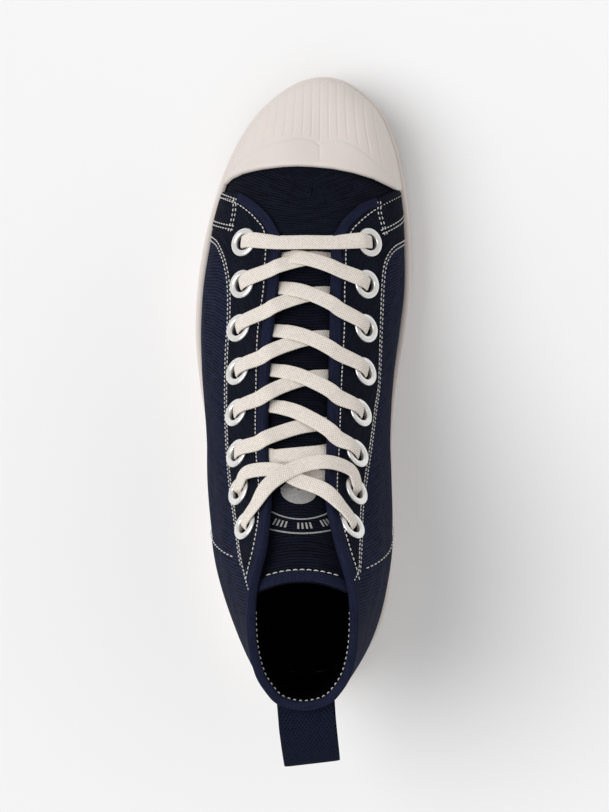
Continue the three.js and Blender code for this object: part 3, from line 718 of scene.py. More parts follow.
SIDE_CANVAS = cloth_material("navy_side_canvas", colour(0, 1, 4), colour(34, 39, 62), 0.8, 1.35, turn=90.0)
FACING_CANVAS = cloth_material("navy_facing_canvas", colour(0, 1, 3), colour(25, 28, 41), 1.0, 1.2, turn=62.0)
VAMP_CANVAS = cloth_material("navy_vamp_canvas", colour(0, 0, 1), colour(22, 26, 38), 0.8, 1.15, turn=90.0)
BINDING = cloth_material("navy_binding_tape", colour(12, 14, 26), colour(33, 37, 60), 0.5, 0.6, 0.05)
TONGUE_CLOTH = cloth_material("navy_tongue_canvas", colour(0, 0, 1), colour(20, 24, 36), 0.9, 1.3, turn=90.0)
LINING = cloth_material("dark_lining", colour(6, 7, 11), colour(17, 19, 30), 0.7, 0.7, 0.08)
print("cloths made:", sum(material.name.startswith("navy") for material in bpy.data.materials))

# %% Lace, thread and webbing


def plaited(name, dark, light, pitch, depth, slant=1.0):
    """A flat plait: two sets of slanting threads, sin(u + v) and sin(u - v), that take turns on top."""
    paint = Paint(name)
    u, v = paint.cloth()
    step = math.pi / pitch
    one = (u * step + v * (step * slant)).sine().size()
    two = (u * step - v * (step * slant)).sine().size()
    plait = one.most(two)
    fine = paint.noise(700.0, 2.0)
    # The colour follows the plait: painted shade between the threads and painted light on their tops.
    shade = paint.blend((plait * 0.75 + fine * 0.45 - 0.2).step(0.0, 1.0), dark, light)
    normal = paint.bump(plait + fine * 0.3, depth, 0.7)
    return paint.finish(Base_Color=shade, Roughness=0.95, Normal=normal, Specular_IOR_Level=0.08)


LACE = plaited("cream_lace", colour(176, 167, 156), colour(240, 232, 223), 1.15, 0.25)
WEBBING = plaited("navy_webbing", colour(0, 0, 2), colour(25, 30, 48), 1.9, 0.5, 1.3)


def plain(name, dark, light, rough, scale=60.0, bump=0.04, **more):
    """A moulded or drawn finish: two near colours clouded together and a fine skin."""
    paint = Paint(name)
    cloud = paint.noise(scale, 4.0)
    grain = paint.noise(1500.0, 2.0)
    shade = paint.blend(cloud, dark, light)
    gloss = cloud * 0.12 + (rough - 0.06)
    return paint.finish(Base_Color=shade, Roughness=gloss, Normal=paint.bump(grain, bump, 0.6), **more)


THREAD = plain("white_thread", colour(178, 176, 174), colour(222, 219, 215), 0.8, 400.0)
INK = plain("pale_print", colour(112, 112, 112), colour(176, 174, 170), 0.8, 900.0)
STEEL = plain("eyelet_nickel", (0.72, 0.71, 0.69, 1), (0.9, 0.89, 0.87, 1), 0.3, 200.0, 0.01,
              Metallic=0.85)
RUBBER = plain("cream_rubber", colour(208, 199, 193), colour(218, 209, 203), 0.5, 30.0, 0.05,
               Subsurface_Weight=0.08, Subsurface_Scale=0.004)
SOLE_RUBBER = plain("cream_sole_rubber", colour(208, 199, 193), colour(219, 210, 204), 0.6, 30.0, 0.05)
print("other finishes:", LACE.name, WEBBING.name, THREAD.name, STEEL.name, RUBBER.name)

# %% [markdown]
# ## The upper: vamp, lining, quarters and heel strip
#
# The CAD model holds the upper as one wall. On the real shoe it is several canvas parts: the vamp over the toes,
# two quarters that lap over it from the throat to the heel, a strip up the heel, and a lining. Each is a thin
# closed sheet at its own lift over the skin, so that a quarter's front edge stands proud of the vamp and throws
# a line of shade. Creases and the steps of the stitched-on facings are small lifts added to the same sheet.

# %% The vamp
CLOTH = 0.85                 # lift of the quarters' outer face over the skin
UNDER = -0.25                # lift of the vamp and the lining's outer face
VAMP_FROM = 11.9             # place of the vamp's rear edge, hidden under the facings
THROAT_CORNER = 12.9         # place where the lining ends


def bridge(place, lift, count):
    """A curve over the throat from one facing's edge to the other, where the ribs still stand apart. It leaves
    each edge along the rib's own top end."""
    sides = []
    for at in (place, AROUND - place):
        edge_point, normal = face(at, 1.0 + 0 * at, lift + 0 * at)
        sides.append((edge_point, unit(edge_point - face(at, 0.97 + 0 * at, lift + 0 * at)[0])))
    (start, leave), (stop, arrive) = sides
    reach = np.linalg.norm(stop - start, axis=-1, keepdims=True) * 0.33
    t = (np.arange(1, count + 1) / (count + 1))[None, :, None]
    stops = (start, start + leave * reach, stop + arrive * reach, stop)
    return bezier(t, *(value[:, None] for value in stops))


def vamp():
    """An arch over the toes for each place: up the outer side, over the ridge or the open throat, and down the
    inner side."""
    v = np.concatenate([np.linspace(-0.6, 0, 7)[:-1], np.linspace(0, 1, 64)])
    place = np.concatenate([np.linspace(VAMP_FROM, 13.0, 30)[:-1], np.linspace(13.0, LAST, 86)])
    layers = []
    for lift in (UNDER, -WALL):
        halves = []
        for at in (place, AROUND - place):
            spot, up = np.meshgrid(at, v, indexing="ij")
            halves.append(face(spot, up, lift + vamp_creases(spot, up))[0])
        layers.append(np.concatenate([halves[0], bridge(place, lift, 17), halves[1][:, ::-1]], 1))
    outer, inner = layers
    rings, uv = sheet_rings(outer, inner, cloth_map(outer))
    return piece("vamp", rings, loft(rings, uv, ends=("strip", "none")), VAMP_CANVAS, weld=True)


def fold(points, line, depth, width):
    """A soft trough (or ridge, if depth is positive) along a line: depth e^-(d / width)^2."""
    return depth * np.exp(-(distance_to(points, line) / width) ** 2)


VAMP_FOLDS = [
    # stops (place, v), depth, width
    ([(13.6, 0.2), (14.2, 0.6), (14.3, 0.95)], -0.5, 3.0),
    ([(24.3, 0.25), (23.8, 0.6), (23.7, 0.95)], -0.5, 3.0),
]


def vamp_creases(place, v):
    """The lift of the vamp's creases at each place and v."""
    points = skin(place, v)[0]
    return sum(fold(points, skin_line(stops), depth, width) for stops, depth, width in VAMP_FOLDS)


vamp()

# %% The lining


def lining():
    """The inner layer from the throat's outer corner round the heel to its inner corner."""
    place = np.mod(np.linspace(THROAT_CORNER, -THROAT_CORNER, 150), AROUND)
    v = np.concatenate([np.linspace(-1, 0, 8)[:-1], np.linspace(0, 1, 30)])
    place, v = np.meshgrid(place, v, indexing="ij")
    outer = face(place, v, UNDER - 0.5)[0]
    inner = face(place, v, -WALL)[0]
    rings, uv = sheet_rings(outer, inner, cloth_map(outer))
    return piece("lining", rings, loft(rings, uv), LINING, replaces=["upper"])


lining()

# %% The quarters
FACING = {
    "outer": [(12.27, -0.3), (12.27, 0.08), (12.13, 0.298), (11.83, 0.441), (11.53, 0.519), (11.1, 0.577),
              (10.37, 0.627), (9.77, 0.641), (8.79, 0.669), (8.01, 0.697), (7.45, 0.713), (7.07, 0.729),
              (6.67, 0.762), (5.83, 0.838), (5.32, 0.92), (5.0, 0.99)],
    "inner": [(25.85, -0.3), (25.85, 0.05), (26.01, 0.327), (26.25, 0.458), (26.54, 0.513), (27.02, 0.533),
              (27.65, 0.54), (28.86, 0.557), (29.43, 0.613), (30.37, 0.702), (30.74, 0.734), (31.12, 0.774),
              (32.16, 0.878), (32.58, 0.927), (32.8, 0.99)],
}
FRONT_EDGE = {
    "outer": table("v place", [(-1, 13.4), (0, 13.4), (0.41, 13.49), (0.545, 13.38), (0.667, 13.15),
                               (0.753, 12.86), (0.845, 12.55), (1, 12.1)]),
    "inner": table("v place", [(-1, 24.5), (0, 24.5), (0.467, 24.64), (0.593, 24.69), (0.678, 24.88),
                               (0.769, 25.17), (0.847, 25.45), (1, 25.9)]),
}
HEEL_SEAM = {
    "outer": table("v place", [(-1, 5.95), (0, 5.9), (0.3, 5.8), (0.6, 5.65), (0.8, 5.57), (1, 5.5)]),
    "inner": table("v place", [(-1, 32.0), (0, 32.05), (0.17, 32.1), (0.5, 32.45), (0.85, 32.64), (1, 32.7)]),
}
PATCH = {
    "outer": [(13.45, -0.3), (13.45, 0.03), (13.41, 0.42), (12.36, 0.49), (12.47, 0.08), (12.5, -0.3)],
    "inner": [(24.6, -0.3), (24.65, 0.488), (25.77, 0.488), (25.4, 0.0), (25.35, -0.3)],
}
FOLDS = {
    "outer": [
        # stops (place, v), depth, width
        ([(11.9, 0.1), (10.6, 0.3), (9.2, 0.42)], -0.55, 6.0),
        ([(10.4, 0.08), (9.0, 0.25), (7.8, 0.5)], -0.5, 6.5),
        ([(8.6, 0.1), (7.4, 0.3), (6.5, 0.6)], -0.45, 6.0),
        ([(7.2, 0.45), (5.6, 0.55), (4.2, 0.62)], -0.4, 5.5),
        ([(6.8, 0.72), (5.2, 0.75), (3.6, 0.78)], -0.3, 5.0),
    ],
    "inner": [
        ([(26.3, 0.1), (27.6, 0.28), (28.9, 0.4)], -0.55, 6.0),
        ([(27.8, 0.08), (29.2, 0.25), (30.4, 0.5)], -0.5, 6.5),
        ([(29.6, 0.1), (30.8, 0.3), (31.6, 0.6)], -0.45, 6.0),
        ([(30.8, 0.45), (32.4, 0.55), (33.8, 0.62)], -0.4, 5.5),
        ([(31.2, 0.72), (32.8, 0.75), (34.4, 0.78)], -0.3, 5.0),
    ],
}


def border_distance(points, corners):
    """Distance to a (place, v) polygon's border on the skin, positive inside it. Points carry (place, v)."""
    point, place, v = points
    ring = np.array(list(corners) + [corners[0]])
    sides = [skin_line(ring[k:k + 2], count=8)[:-1] for k in range(len(ring) - 1)]
    line = np.concatenate(sides + [skin_line(ring[-1:])[:1]])
    distance = distance_to(point, line)
    return np.where(inside(place, v, np.array(corners)), distance, -distance)


def eyelet_wells(point):
    """0 at the eyelets' holes and 1 outside them."""
    open_there = np.ones(point.shape[:-1])
    for side in ("outer", "inner"):
        for place, v in zip(*EYELET_AT[side]):
            apart = np.linalg.norm(point - face(place, v)[0], axis=-1)
            open_there = np.minimum(open_there, soft_step(apart, 3.0, 3.5))
    return open_there


def facing_outline(side):
    """The facing as a polygon: its stitched line, closed round the throat's edge and the front."""
    return FACING[side] + ([(5.0, 1.3), (14.5, 1.3), (14.5, -0.3)] if side == "outer" else
                           [(32.8, 1.3), (23.5, 1.3), (23.5, -0.3)])


def plain_lift(v, from_step):
    """The lift of a quarter's cloth: thinner where the rubber holds it, and 0.4 more past a stitched step."""
    return CLOTH * (0.35 + 0.65 * soft_step(v, -0.02, 0.06)) + 0.4 * from_step


def cloth_lift(side, place, v):
    """How far the quarter's outer face stands over the skin, and the skin's points: the cloth, a step above
    the facing's stitching, a patch at its foot, the creases and the two stitched dents."""
    point = skin(place, v)[0]
    on_facing = border_distance((point, place, v), facing_outline(side))
    on_patch = border_distance((point, place, v), PATCH[side])
    lift = plain_lift(v, soft_step(on_facing, -0.3, 0.3)) + 0.35 * soft_step(on_patch, -0.3, 0.3)
    calm = soft_step(-on_facing, -2.0, 6.0) * soft_step(v, 0.0, 0.12)
    for stops, depth, width in FOLDS[side]:
        lift = lift + calm * fold(point, skin_line(stops), depth, width)
    for inset in (1.1, 2.8):
        lift = lift - 0.12 * np.exp(-((on_facing - inset) / 0.6) ** 2)
    return lift, point


def cloth_rows(count):
    """v from inside the rubber to just under the binding tape, with count rows above the rim."""
    return np.concatenate([np.linspace(-0.5, 0, 5)[:-1], np.linspace(0, CLOTH_TOP, count)])


def seam_places(seam, v):
    """The place of a seam at each v, read from its table."""
    return np.interp(v, seam["v"], seam["place"])


CLOTH_TOP = 0.985           # v
SEAM_LAP = 0.25             # of place, how far a quarter goes on under the heel strip
QUARTER_LONG = 160          # about how many millimetres u goes from 0 to 1 along a quarter
STRIP_LONG = 130            # and round the heel strip
EDGE_ROUND = 0.8            # mm from a quarter's front edge over which its face rounds down
WELL = 1.7                  # mm the cloth dips at an eyelet's hole


def quarter(side):
    """A sheet between the front edge and the heel seam, both of which are tables of place against v."""
    v = cloth_rows(118)
    u = np.linspace(0, 1, 166)
    front = seam_places(FRONT_EDGE[side], v)
    back = seam_places(HEEL_SEAM[side], v) - (SEAM_LAP if side == "outer" else -SEAM_LAP)
    place = front[None, :] + (back - front)[None, :] * u[:, None]
    v = v[None, :] + 0 * place
    lift, point = cloth_lift(side, place, v)
    well = eyelet_wells(point)
    from_edge = np.clip(u * QUARTER_LONG / EDGE_ROUND, 0, 1)
    round_edge = 0.45 * (1 - np.sqrt(np.clip(1 - (1 - from_edge) ** 2, 0, 1)))[:, None]
    outer_lift = (lift - round_edge) * well - WELL * (1 - well)
    inner_lift = np.minimum(-0.2, outer_lift - 0.4)
    outer = face(place, v, outer_lift)[0]
    inner = face(place, v, inner_lift)[0]
    rings, uv = sheet_rings(outer, inner, cloth_map(point))
    middle = [0.25 * (grid[:-1, :-1] + grid[1:, :-1] + grid[:-1, 1:] + grid[1:, 1:]) for grid in (place, v)]
    on_facing = np.zeros((rings.shape[0] - 1, rings.shape[1]), bool)
    for outline in (facing_outline(side), PATCH[side]):
        on_facing[:, :v.shape[1] - 1] |= inside(middle[0], middle[1], np.array(outline))
    return piece("quarter_" + side, rings, loft(rings, uv), SIDE_CANVAS,
                 second=FACING_CANVAS, on_second=on_facing.ravel())


quarter("outer")
quarter("inner")

# %% The heel strip


def heel_strip():
    """The back part, between the two heel seams, a cloth's thickness over the quarters."""
    v = cloth_rows(62)
    one = seam_places(HEEL_SEAM["outer"], v)
    two = seam_places(HEEL_SEAM["inner"], v) - AROUND
    u = np.linspace(0, 1, 164)
    place = one[None, :] + (two - one)[None, :] * u[:, None]
    v = v[None, :] + 0 * place
    point = skin(np.mod(place, AROUND), v)[0]
    edge_in = np.minimum(u, 1 - u)[:, None] * STRIP_LONG
    lift = plain_lift(v, soft_step(edge_in, 0, 0.6))
    for side in ("outer", "inner"):
        for stops, depth, width in FOLDS[side]:
            lift = lift + soft_step(v, 0.0, 0.12) * fold(point, skin_line(stops), depth, width)
    outer = face(np.mod(place, AROUND), v, lift)[0]
    inner = face(np.mod(place, AROUND), v, np.minimum(-0.2, lift - 0.5))[0]
    rings, uv = sheet_rings(outer, inner, cloth_map(point))
    return piece("heel_strip", rings, loft(rings, uv), SIDE_CANVAS)


heel_strip()

# %% [markdown]
# A tape folded over the raw edge of the throat and collar keeps it from fraying. Its section is a narrow U: up
# the outside, round the edge and down the inside.

# %% The binding tape
TAPE = 4.0                  # how far the tape reaches down from the edge
TAPE_FROM = 12.35           # place where it starts, and it ends at the same place on the other side
TAPE_FACES = (1.45, -2.2)   # its outside and inside lift


def edge_rate(place):
    """How many millimetres of rib one unit of v is at its top end."""
    return np.linalg.norm(rib(place, 1.0) - rib(place, 0.96), axis=-1) / 0.04


def binding():
    """A U section at each place: up the outside, half an ellipse over the edge, and down the inside."""
    place = np.mod(np.linspace(TAPE_FROM, -TAPE_FROM, 620), AROUND)
    rate = edge_rate(place)
    rings = []
    outside, within = TAPE_FACES
    half, centre = (outside - within) / 2, (outside + within) / 2
    levels = (TAPE, TAPE - 0.25, TAPE * 0.66, TAPE * 0.33, 0.6)
    for down in levels:
        shrink = 0.45 if down == TAPE else 0.0
        rings.append(face(place, 1 - down / rate, outside - shrink)[0])
    top, normal = face(place, np.ones_like(place))
    below = face(place, 1 - 0.8 / rate)[0]
    rise = unit(top - below)
    for turn in np.linspace(0, np.pi, 9):
        rings.append(top - rise * 0.6 + normal * (centre + half * np.cos(turn)) + rise * 0.9 * np.sin(turn))
    for down in levels[::-1]:
        shrink = 0.45 if down == TAPE else 0.0
        rings.append(face(place, 1 - down / rate, within + shrink)[0])
    rings = np.stack(rings, axis=1)
    uv = cloth_map(rings)
    uv = np.concatenate([uv, uv[:, :1]], 1)
    return piece("binding_tape", rings, loft(rings, uv, ends="face"), BINDING)


binding()

# %% The tape on the quarters' front edges


def front_tape(side):
    """A flat strip on the quarter's face, along the curved front edge from the patch to the throat's corner."""
    stops = np.stack([FRONT_EDGE[side]["place"], FRONT_EDGE[side]["v"]], -1)
    stops = np.array([spot for spot in stops if spot[1] > 0.4])
    scale = (10, 100)       # about how many millimetres a unit of place and of v is
    dense = through(np.stack([stops[:, 0] * scale[0], stops[:, 1] * scale[1], 0 * stops[:, 0]], -1), 160)
    place, v = dense[:, 0] / scale[0], (dense[:, 1] / scale[1]).clip(0, CLOTH_TOP)
    edge_line, normal = face(place, v, CLOTH + 0.62)
    ahead = unit(np.gradient(edge_line, axis=0))
    aside = np.cross(normal, ahead) * (1 if side == "outer" else -1)
    quarter_middle = face(8.0 if side == "outer" else 30.0, 0.5)[0]
    inwards = np.sign(np.sum(aside * (quarter_middle - edge_line), -1).mean())
    path = edge_line + aside * inwards * (TAPE / 2 - 0.55)
    rings, uv = ribbon(path, aside, TAPE, 0.75, 0.4, 24)
    return piece("front_tape_" + side, rings, loft(rings, uv), BINDING)


front_tape("outer")
front_tape("inner")

# %% [markdown]
# ## The rubber: toe cap, sidewall and outsole
#
# The toe cap is one moulded shell over the toes. It has a smooth band at its rear, a scalloped step, and flutes
# that fan forwards from the step to a knurled rim. All of that is relief of under a millimetre on the same arch
# that the vamp uses, so it is a height for each point, worked out from where the point lies seen from above.

# %% The toe cap
CAP_EDGE = table("x ahead", [
    [-50, 206], [-36, 209.5], [-33.1, 211.6], [-28.8, 214.6], [-24.4, 216.3], [-20, 217.2], [-15.8, 217.9],
    [-7.3, 218.7], [-1.1, 218.9], [5.2, 218.6], [13.5, 217.8], [21.8, 216.2], [30, 213.9], [34.1, 212.1],
    [38.2, 210.3], [46, 207], [60, 205]])
SCALLOP = table("x ahead", [
    [-50, 200], [-36, 209.5], [-31.5, 214.0], [-26.0, 220.5], [-20.2, 225.0], [-11.7, 228.5], [-3.3, 230.5],
    [0.9, 230.5], [5, 229.3], [8, 227.6], [13.4, 229.5], [17.5, 229.3], [21.7, 227.4], [25.8, 224.4],
    [30, 220.6], [34.1, 216.2], [37.4, 212.4], [40.7, 208.6], [50, 199]])
CAP_THICK = 1.9
CAP_LIFT = 0.35
FLUTE = {"pitch": 3.85, "centre": 8.0, "fan": 0.0085, "width": 0.42, "deep": 0.24}
SCALLOP_STEP = 0.28
CAP_RIM_BAND = 2.2


def diamonds(run, turn, pitch):
    """A knurl between -1 and 1: sin(2 pi run / pitch + turn) times sin(2 pi run / pitch - turn)."""
    wave = 2 * np.pi * run / pitch
    return np.sin(wave + turn) * np.sin(wave - turn)


def cap_relief(point, v, place):
    """The cap's height over its plain shell: a rounded rear edge, a step down at the scallop, flutes in front of
    it that draw together towards the tip, and a raised knurled band along the rim."""
    x, ahead, height = (point[..., axis] for axis in range(3))
    from_rear = ahead - np.interp(x, CAP_EDGE["x"], CAP_EDGE["ahead"])
    from_scallop = (ahead - np.interp(x, SCALLOP["x"], SCALLOP["ahead"])) * 0.8
    above_rim = height - rim_height(place)
    relief = -0.95 * (1 - np.sqrt(np.clip(1 - (1 - np.clip(from_rear / 1.6, 0, 1)) ** 2, 0, 1)))
    front = soft_step(from_scallop, -0.25, 0.25)
    off_centre = x - FLUTE["centre"]
    cusp = np.exp(-(off_centre / 0.7) ** 2) * soft_step(from_scallop, -6, -5) * (1 - front)
    flute = np.abs(np.sin(np.pi * off_centre * (1 + FLUTE["fan"] * (ahead - 228)) / FLUTE["pitch"]))
    groove = np.clip(1 - flute / FLUTE["width"], 0, 1)
    fade = soft_step(from_scallop, 0.2, 2.5) * soft_step(above_rim, CAP_RIM_BAND - 0.3, CAP_RIM_BAND + 1.6)
    relief = relief - SCALLOP_STEP * front - FLUTE["deep"] * groove * fade - 0.3 * cusp
    relief = relief - 0.25 * np.exp(-((from_scallop + 0.2) / 0.5) ** 2)
    band = (1 - soft_step(above_rim, CAP_RIM_BAND - 0.5, CAP_RIM_BAND)) * front
    return relief + band * (0.3 + 0.12 * diamonds(x * 1.1 + ahead, 1.4 * above_rim, 2.2))


def toe_cap():
    """Ribs of the skin from the rear edge to the tip. Halving a range 40 times finds the place where each rib
    crosses the rear edge."""
    w = np.linspace(-1, 1, 401)
    v = (1 - np.abs(w)).clip(0.012, 1)
    low, high = np.full(w.shape, 12.5), np.full(w.shape, 18.5)
    for _ in range(40):
        middle = (low + high) / 2
        at = rib(np.where(w > 0, AROUND - middle, middle), v)
        behind = at[..., 1] < np.interp(at[..., 0], CAP_EDGE["x"], CAP_EDGE["ahead"])
        low, high = np.where(behind, middle, low), np.where(behind, high, middle)
    s = np.concatenate([np.linspace(0, 0.06, 9)[:-1], np.linspace(0.06, 1, 92)])
    place = low[None, :] + (LAST - low)[None, :] * s[:, None]
    v = v[None, :] + 0 * place
    place = np.where(w[None, :] > 0, AROUND - place, place)
    point = face(place, v)[0]
    outer = face(place, v, CAP_LIFT + CAP_THICK + cap_relief(point, v, place))[0]
    inner = face(place, v, CAP_LIFT + 0 * v)[0]
    rings, uv = sheet_rings(outer, inner, cloth_map(point))
    return piece("toe_cap_shell", rings, loft(rings, uv, ends=("strip", "none")), RUBBER,
                 replaces=["toe_cap"], weld=True)


toe_cap()

# %% [markdown]
# The sidewall (foxing) is a strip of rubber wrapped round the whole shoe. Its outside has a smooth upper part, a
# thin raised line and a knurled lower part, and its top edge is rounded.

# %% The sidewall
KNURL_PITCH = 2.4
SIDE_STATIONS = 1620
LEVELS = np.concatenate([[0, 0.5], np.linspace(1.2, 11.2, 11), [11.6, 12.0, 12.6, 13.2, 13.6]])
KNURLED = (1.5, 11.0)       # levels above the bottom edge
STRIP_LINE = (11.9, 13.3)
STRIP_EDGES = (11.2, 13.6)
RIM_ROUND = 0.8             # height of the rounded top edge


def side_profile(place, run):
    """Heights up the sidewall and how far each point stands out: strip lines and a knurled lower band."""
    bottom, rim = floor_at(place), rim_height(place)
    rings = []
    for level in LEVELS:
        knurled = KNURLED[0] < level < KNURLED[1]
        out = knurled * (0.22 * diamonds(run, level * 0.9, KNURL_PITCH) - 0.1)
        out = out + 0.35 * (STRIP_LINE[0] < level < STRIP_LINE[1]) - 0.3 * (level in STRIP_EDGES)
        rings.append(sidewall(place, bottom + level, (0.5 if level == 0 else 0.0) - out)[0])
    for share in (0.2, 0.5, 0.8):
        height = bottom + 14 + (rim - bottom - 15.2) * share
        rings.append(sidewall(place, height, 0 * place)[0])
    toe = soft_step(-np.abs(place - LAST), -6.0, -5.6)
    radius = FOXING / 2
    for turn in np.linspace(0, np.pi, 9):
        knurl = 0.16 * toe * diamonds(run, turn * 2, KNURL_PITCH) * math.sin(turn)
        point = sidewall(place, rim - RIM_ROUND, radius - (radius + knurl) * np.cos(turn))[0]
        rings.append(point + np.array([0, 0, 1.0]) * ((RIM_ROUND + knurl) * math.sin(turn))[:, None])
    rings.append(sidewall(place, plate_top(place) - 0.5, FOXING + 0 * place)[0])
    rings.append(sidewall(place, bottom, FOXING + 0 * place)[0])
    return np.stack(rings, 1)


def foxing():
    """The profile at equal steps round the shoe, with a whole number of knurls in the round."""
    dense = np.linspace(0, AROUND, 4000)
    outline = sidewall(dense, floor_at(dense) + 8, 0 * dense)[0]
    run = lengths(outline)
    stations = np.arange(SIDE_STATIONS) / SIDE_STATIONS
    place = np.interp(stations * run[-1], run, dense)
    whole = round(run[-1] / KNURL_PITCH) * KNURL_PITCH
    rings = side_profile(place, stations * whole)
    u = np.arange(SIDE_STATIONS + 1)[:, None] / SIDE_STATIONS * run[-1] + np.zeros(rings.shape[1] + 1)
    v = np.concatenate([lengths(rings[0]), [lengths(rings[0])[-1] + FOXING]])[None, :] + 0 * u
    return piece("sidewall", rings, loft(rings, np.stack([u, v], -1), closed=True), RUBBER,
                 replaces=["foxing"])


foxing()

# %% [markdown]
# The outsole's underside is a height for each point of the plan: a border of small blocks, bands of wavy
# grooves that slant across the forefoot and the heel, ladders of short ribs between the bands, and a plain
# waist panel with three blank discs. The heel's bands slant the other way.

# %% The outsole's tread
DENSE = np.linspace(0, AROUND, 760)
TO_TOE = np.linspace(0, LAST, 400)
OUTLINE = sidewall(DENSE, floor_at(DENSE), FOXING + 0.05 + 0 * DENSE)[0][:, :2]
HALFWAY = len(DENSE) // 2
TREAD = {                                   # degrees, millimetres
    "forefoot": {"slant": 34.0, "first": 160.6, "pitch": 22.1},
    "heel": {"slant": -31.0, "first": 32.2, "pitch": 22.3},
}
GROOVES = {"count": 5, "pitch": 1.8, "wave": 17.5, "swing": 1.4, "deep": 1.1}
LADDER = {"pitch": 4.5, "width": 3.3, "rib": 1.7}
BLOCKS = {"pitch": 8.4, "long": 5.7, "from": 1.6, "to": 5.3}
WAIST = (70.0, 137.0)       # from the heel; the smooth panel is between these
DISCS = [(-26.3, 86.1), (-8.8, 86.9), (8.0, 87.8)]
DISC_RADIUS = 5.3
TICK_PITCH = 2.1            # of the short marks along the very edge
RECESS = 0.9


def two_sides(outline):
    """The outline's two sides, each from the heel to the toe."""
    halves = outline[:HALFWAY], outline[HALFWAY:]
    return [half[np.argsort(half[:, 1])] for half in halves]


def span(outline, ahead, share):
    """x at each distance ahead and each share of the way from the left side to the right one."""
    left, right = (np.interp(ahead, side[:, 1], side[:, 0])[:, None] for side in two_sides(outline))
    return left + (right - left) * share[None, :], right - left


def nearest_on_outline(x, ahead):
    """Distance to the outline and the running length of the nearest point on it."""
    run = lengths(OUTLINE)
    best, where = np.full(x.shape, np.inf), np.zeros(x.shape)
    for (x0, y0), (x1, y1), start in zip(OUTLINE[:-1], OUTLINE[1:], run[:-1]):
        dx, dy = x1 - x0, y1 - y0
        t = np.clip(((x - x0) * dx + (ahead - y0) * dy) / max(dx * dx + dy * dy, 1e-9), 0, 1)
        distance = np.hypot(x - x0 - t * dx, ahead - y0 - t * dy)
        closer = distance < best
        best = np.where(closer, distance, best)
        where = np.where(closer, start + t * math.hypot(dx, dy), where)
    return best, where


def between(value, low, high, soft):
    """1 between low and high and 0 outside, over a soft width inside each end."""
    return soft_step(value, low, low + soft) * (1 - soft_step(value, high - soft, high))


def slanted(x, ahead, slant, first, pitch):
    """Height of the slanted pattern over its ground: 0 ground, 1 the tops that touch the floor."""
    turn = math.radians(slant)
    across = x * math.cos(turn) + ahead * math.sin(turn)
    swing = GROOVES["swing"] * np.sin(2 * np.pi * across / GROOVES["wave"])
    up = -x * math.sin(turn) + ahead * math.cos(turn) - swing
    from_band = np.abs(np.mod(up - first + pitch / 2, pitch) - pitch / 2)
    half = GROOVES["count"] * GROOVES["pitch"] / 2
    groove = 0.5 + 0.5 * np.cos(2 * np.pi * from_band / GROOVES["pitch"])
    band = 1 - soft_step(groove, 0.35, 0.8)
    in_band = 1 - soft_step(from_band, half - 0.1, half + 0.25)
    column = np.abs(np.mod(across, LADDER["pitch"]) - LADDER["pitch"] / 2)
    in_column = 1 - soft_step(column, LADDER["width"] / 2 - 0.3, LADDER["width"] / 2 + 0.2)
    rib_wave = 0.5 + 0.5 * np.cos(2 * np.pi * up / LADDER["rib"])
    ladder = in_column * soft_step(rib_wave, 0.25, 0.6) * soft_step(from_band, half + 0.9, half + 1.3)
    return in_band * band + (1 - in_band) * ladder


def tread_height(x, ahead):
    """How far the underside is above the floor: tops at 0, ground at RECESS, the waist panel deeper."""
    border, where = nearest_on_outline(x, ahead)
    block = np.abs(np.mod(where, BLOCKS["pitch"]) - BLOCKS["pitch"] / 2)
    on_block = 1 - soft_step(block, BLOCKS["long"] / 2 - 0.35, BLOCKS["long"] / 2)
    on_block = on_block * between(border, BLOCKS["from"], BLOCKS["to"], 0.35)
    from_tick = np.abs(np.mod(where, TICK_PITCH) - TICK_PITCH / 2)
    tick = 0.5 * (1 - soft_step(from_tick, 0.3, 0.6)) * (1 - soft_step(border, 0.8, 1.1))
    inner = soft_step(border, BLOCKS["to"] + 0.9, BLOCKS["to"] + 1.2)
    front = slanted(x, ahead, **TREAD["forefoot"])
    heel = slanted(x, ahead, **TREAD["heel"])
    pattern = np.where(ahead > sum(WAIST) / 2, front, heel)
    in_waist = between(ahead, WAIST[0] - 0.3, WAIST[1] + 0.3, 0.6)
    tops = np.maximum(np.maximum(inner * pattern, on_block) * (1 - in_waist), tick)
    ground = RECESS * (1 - tops)
    panel = between(ahead, WAIST[0] + 1.4, WAIST[1] - 1.4, 0.8) * soft_step(border, 5.6, 6.4)
    ground = ground * (1 - in_waist) + in_waist * (0.05 + 1.75 * panel)
    for x0, y0 in DISCS:
        ring = np.abs(np.hypot(x - x0, ahead - y0) - DISC_RADIUS)
        ground = ground - 0.5 * (1 - soft_step(ring, 0.3, 0.65)) * panel
    rim_line = 1 - soft_step(np.abs(border - 1.3), 0.1, 0.35)
    return ground + 0.25 * rim_line


def outsole_part(name, start, end, step, replaces=()):
    """A closed block from one distance along the shoe to another, with the tread underneath and a flat top."""
    ahead = np.linspace(start, end, int((end - start) / step))
    x_top, width = span(OUTLINE, ahead, np.linspace(1, 0, 9))
    x, _ = span(OUTLINE, ahead, np.linspace(0, 1, int(width.max() / step)))
    y = ahead[:, None] + 0 * x
    floor = np.interp(ahead, along(TO_TOE), floor_at(TO_TOE))[:, None]
    top = np.interp(ahead, along(TO_TOE), plate_top(TO_TOE))[:, None] - 0.1
    bottom = np.stack([x, y, floor + tread_height(x, y)], -1)
    upper_face = np.stack([x_top, ahead[:, None] + 0 * x_top, top + 0 * x_top], -1)
    rings = np.concatenate([bottom, upper_face], 1)
    uv = np.concatenate([rings[..., :2], rings[:, :1, :2]], 1)
    return piece(name, rings, loft(rings, uv, ends="face"), SOLE_RUBBER, replaces=replaces,
                 sharp=60)


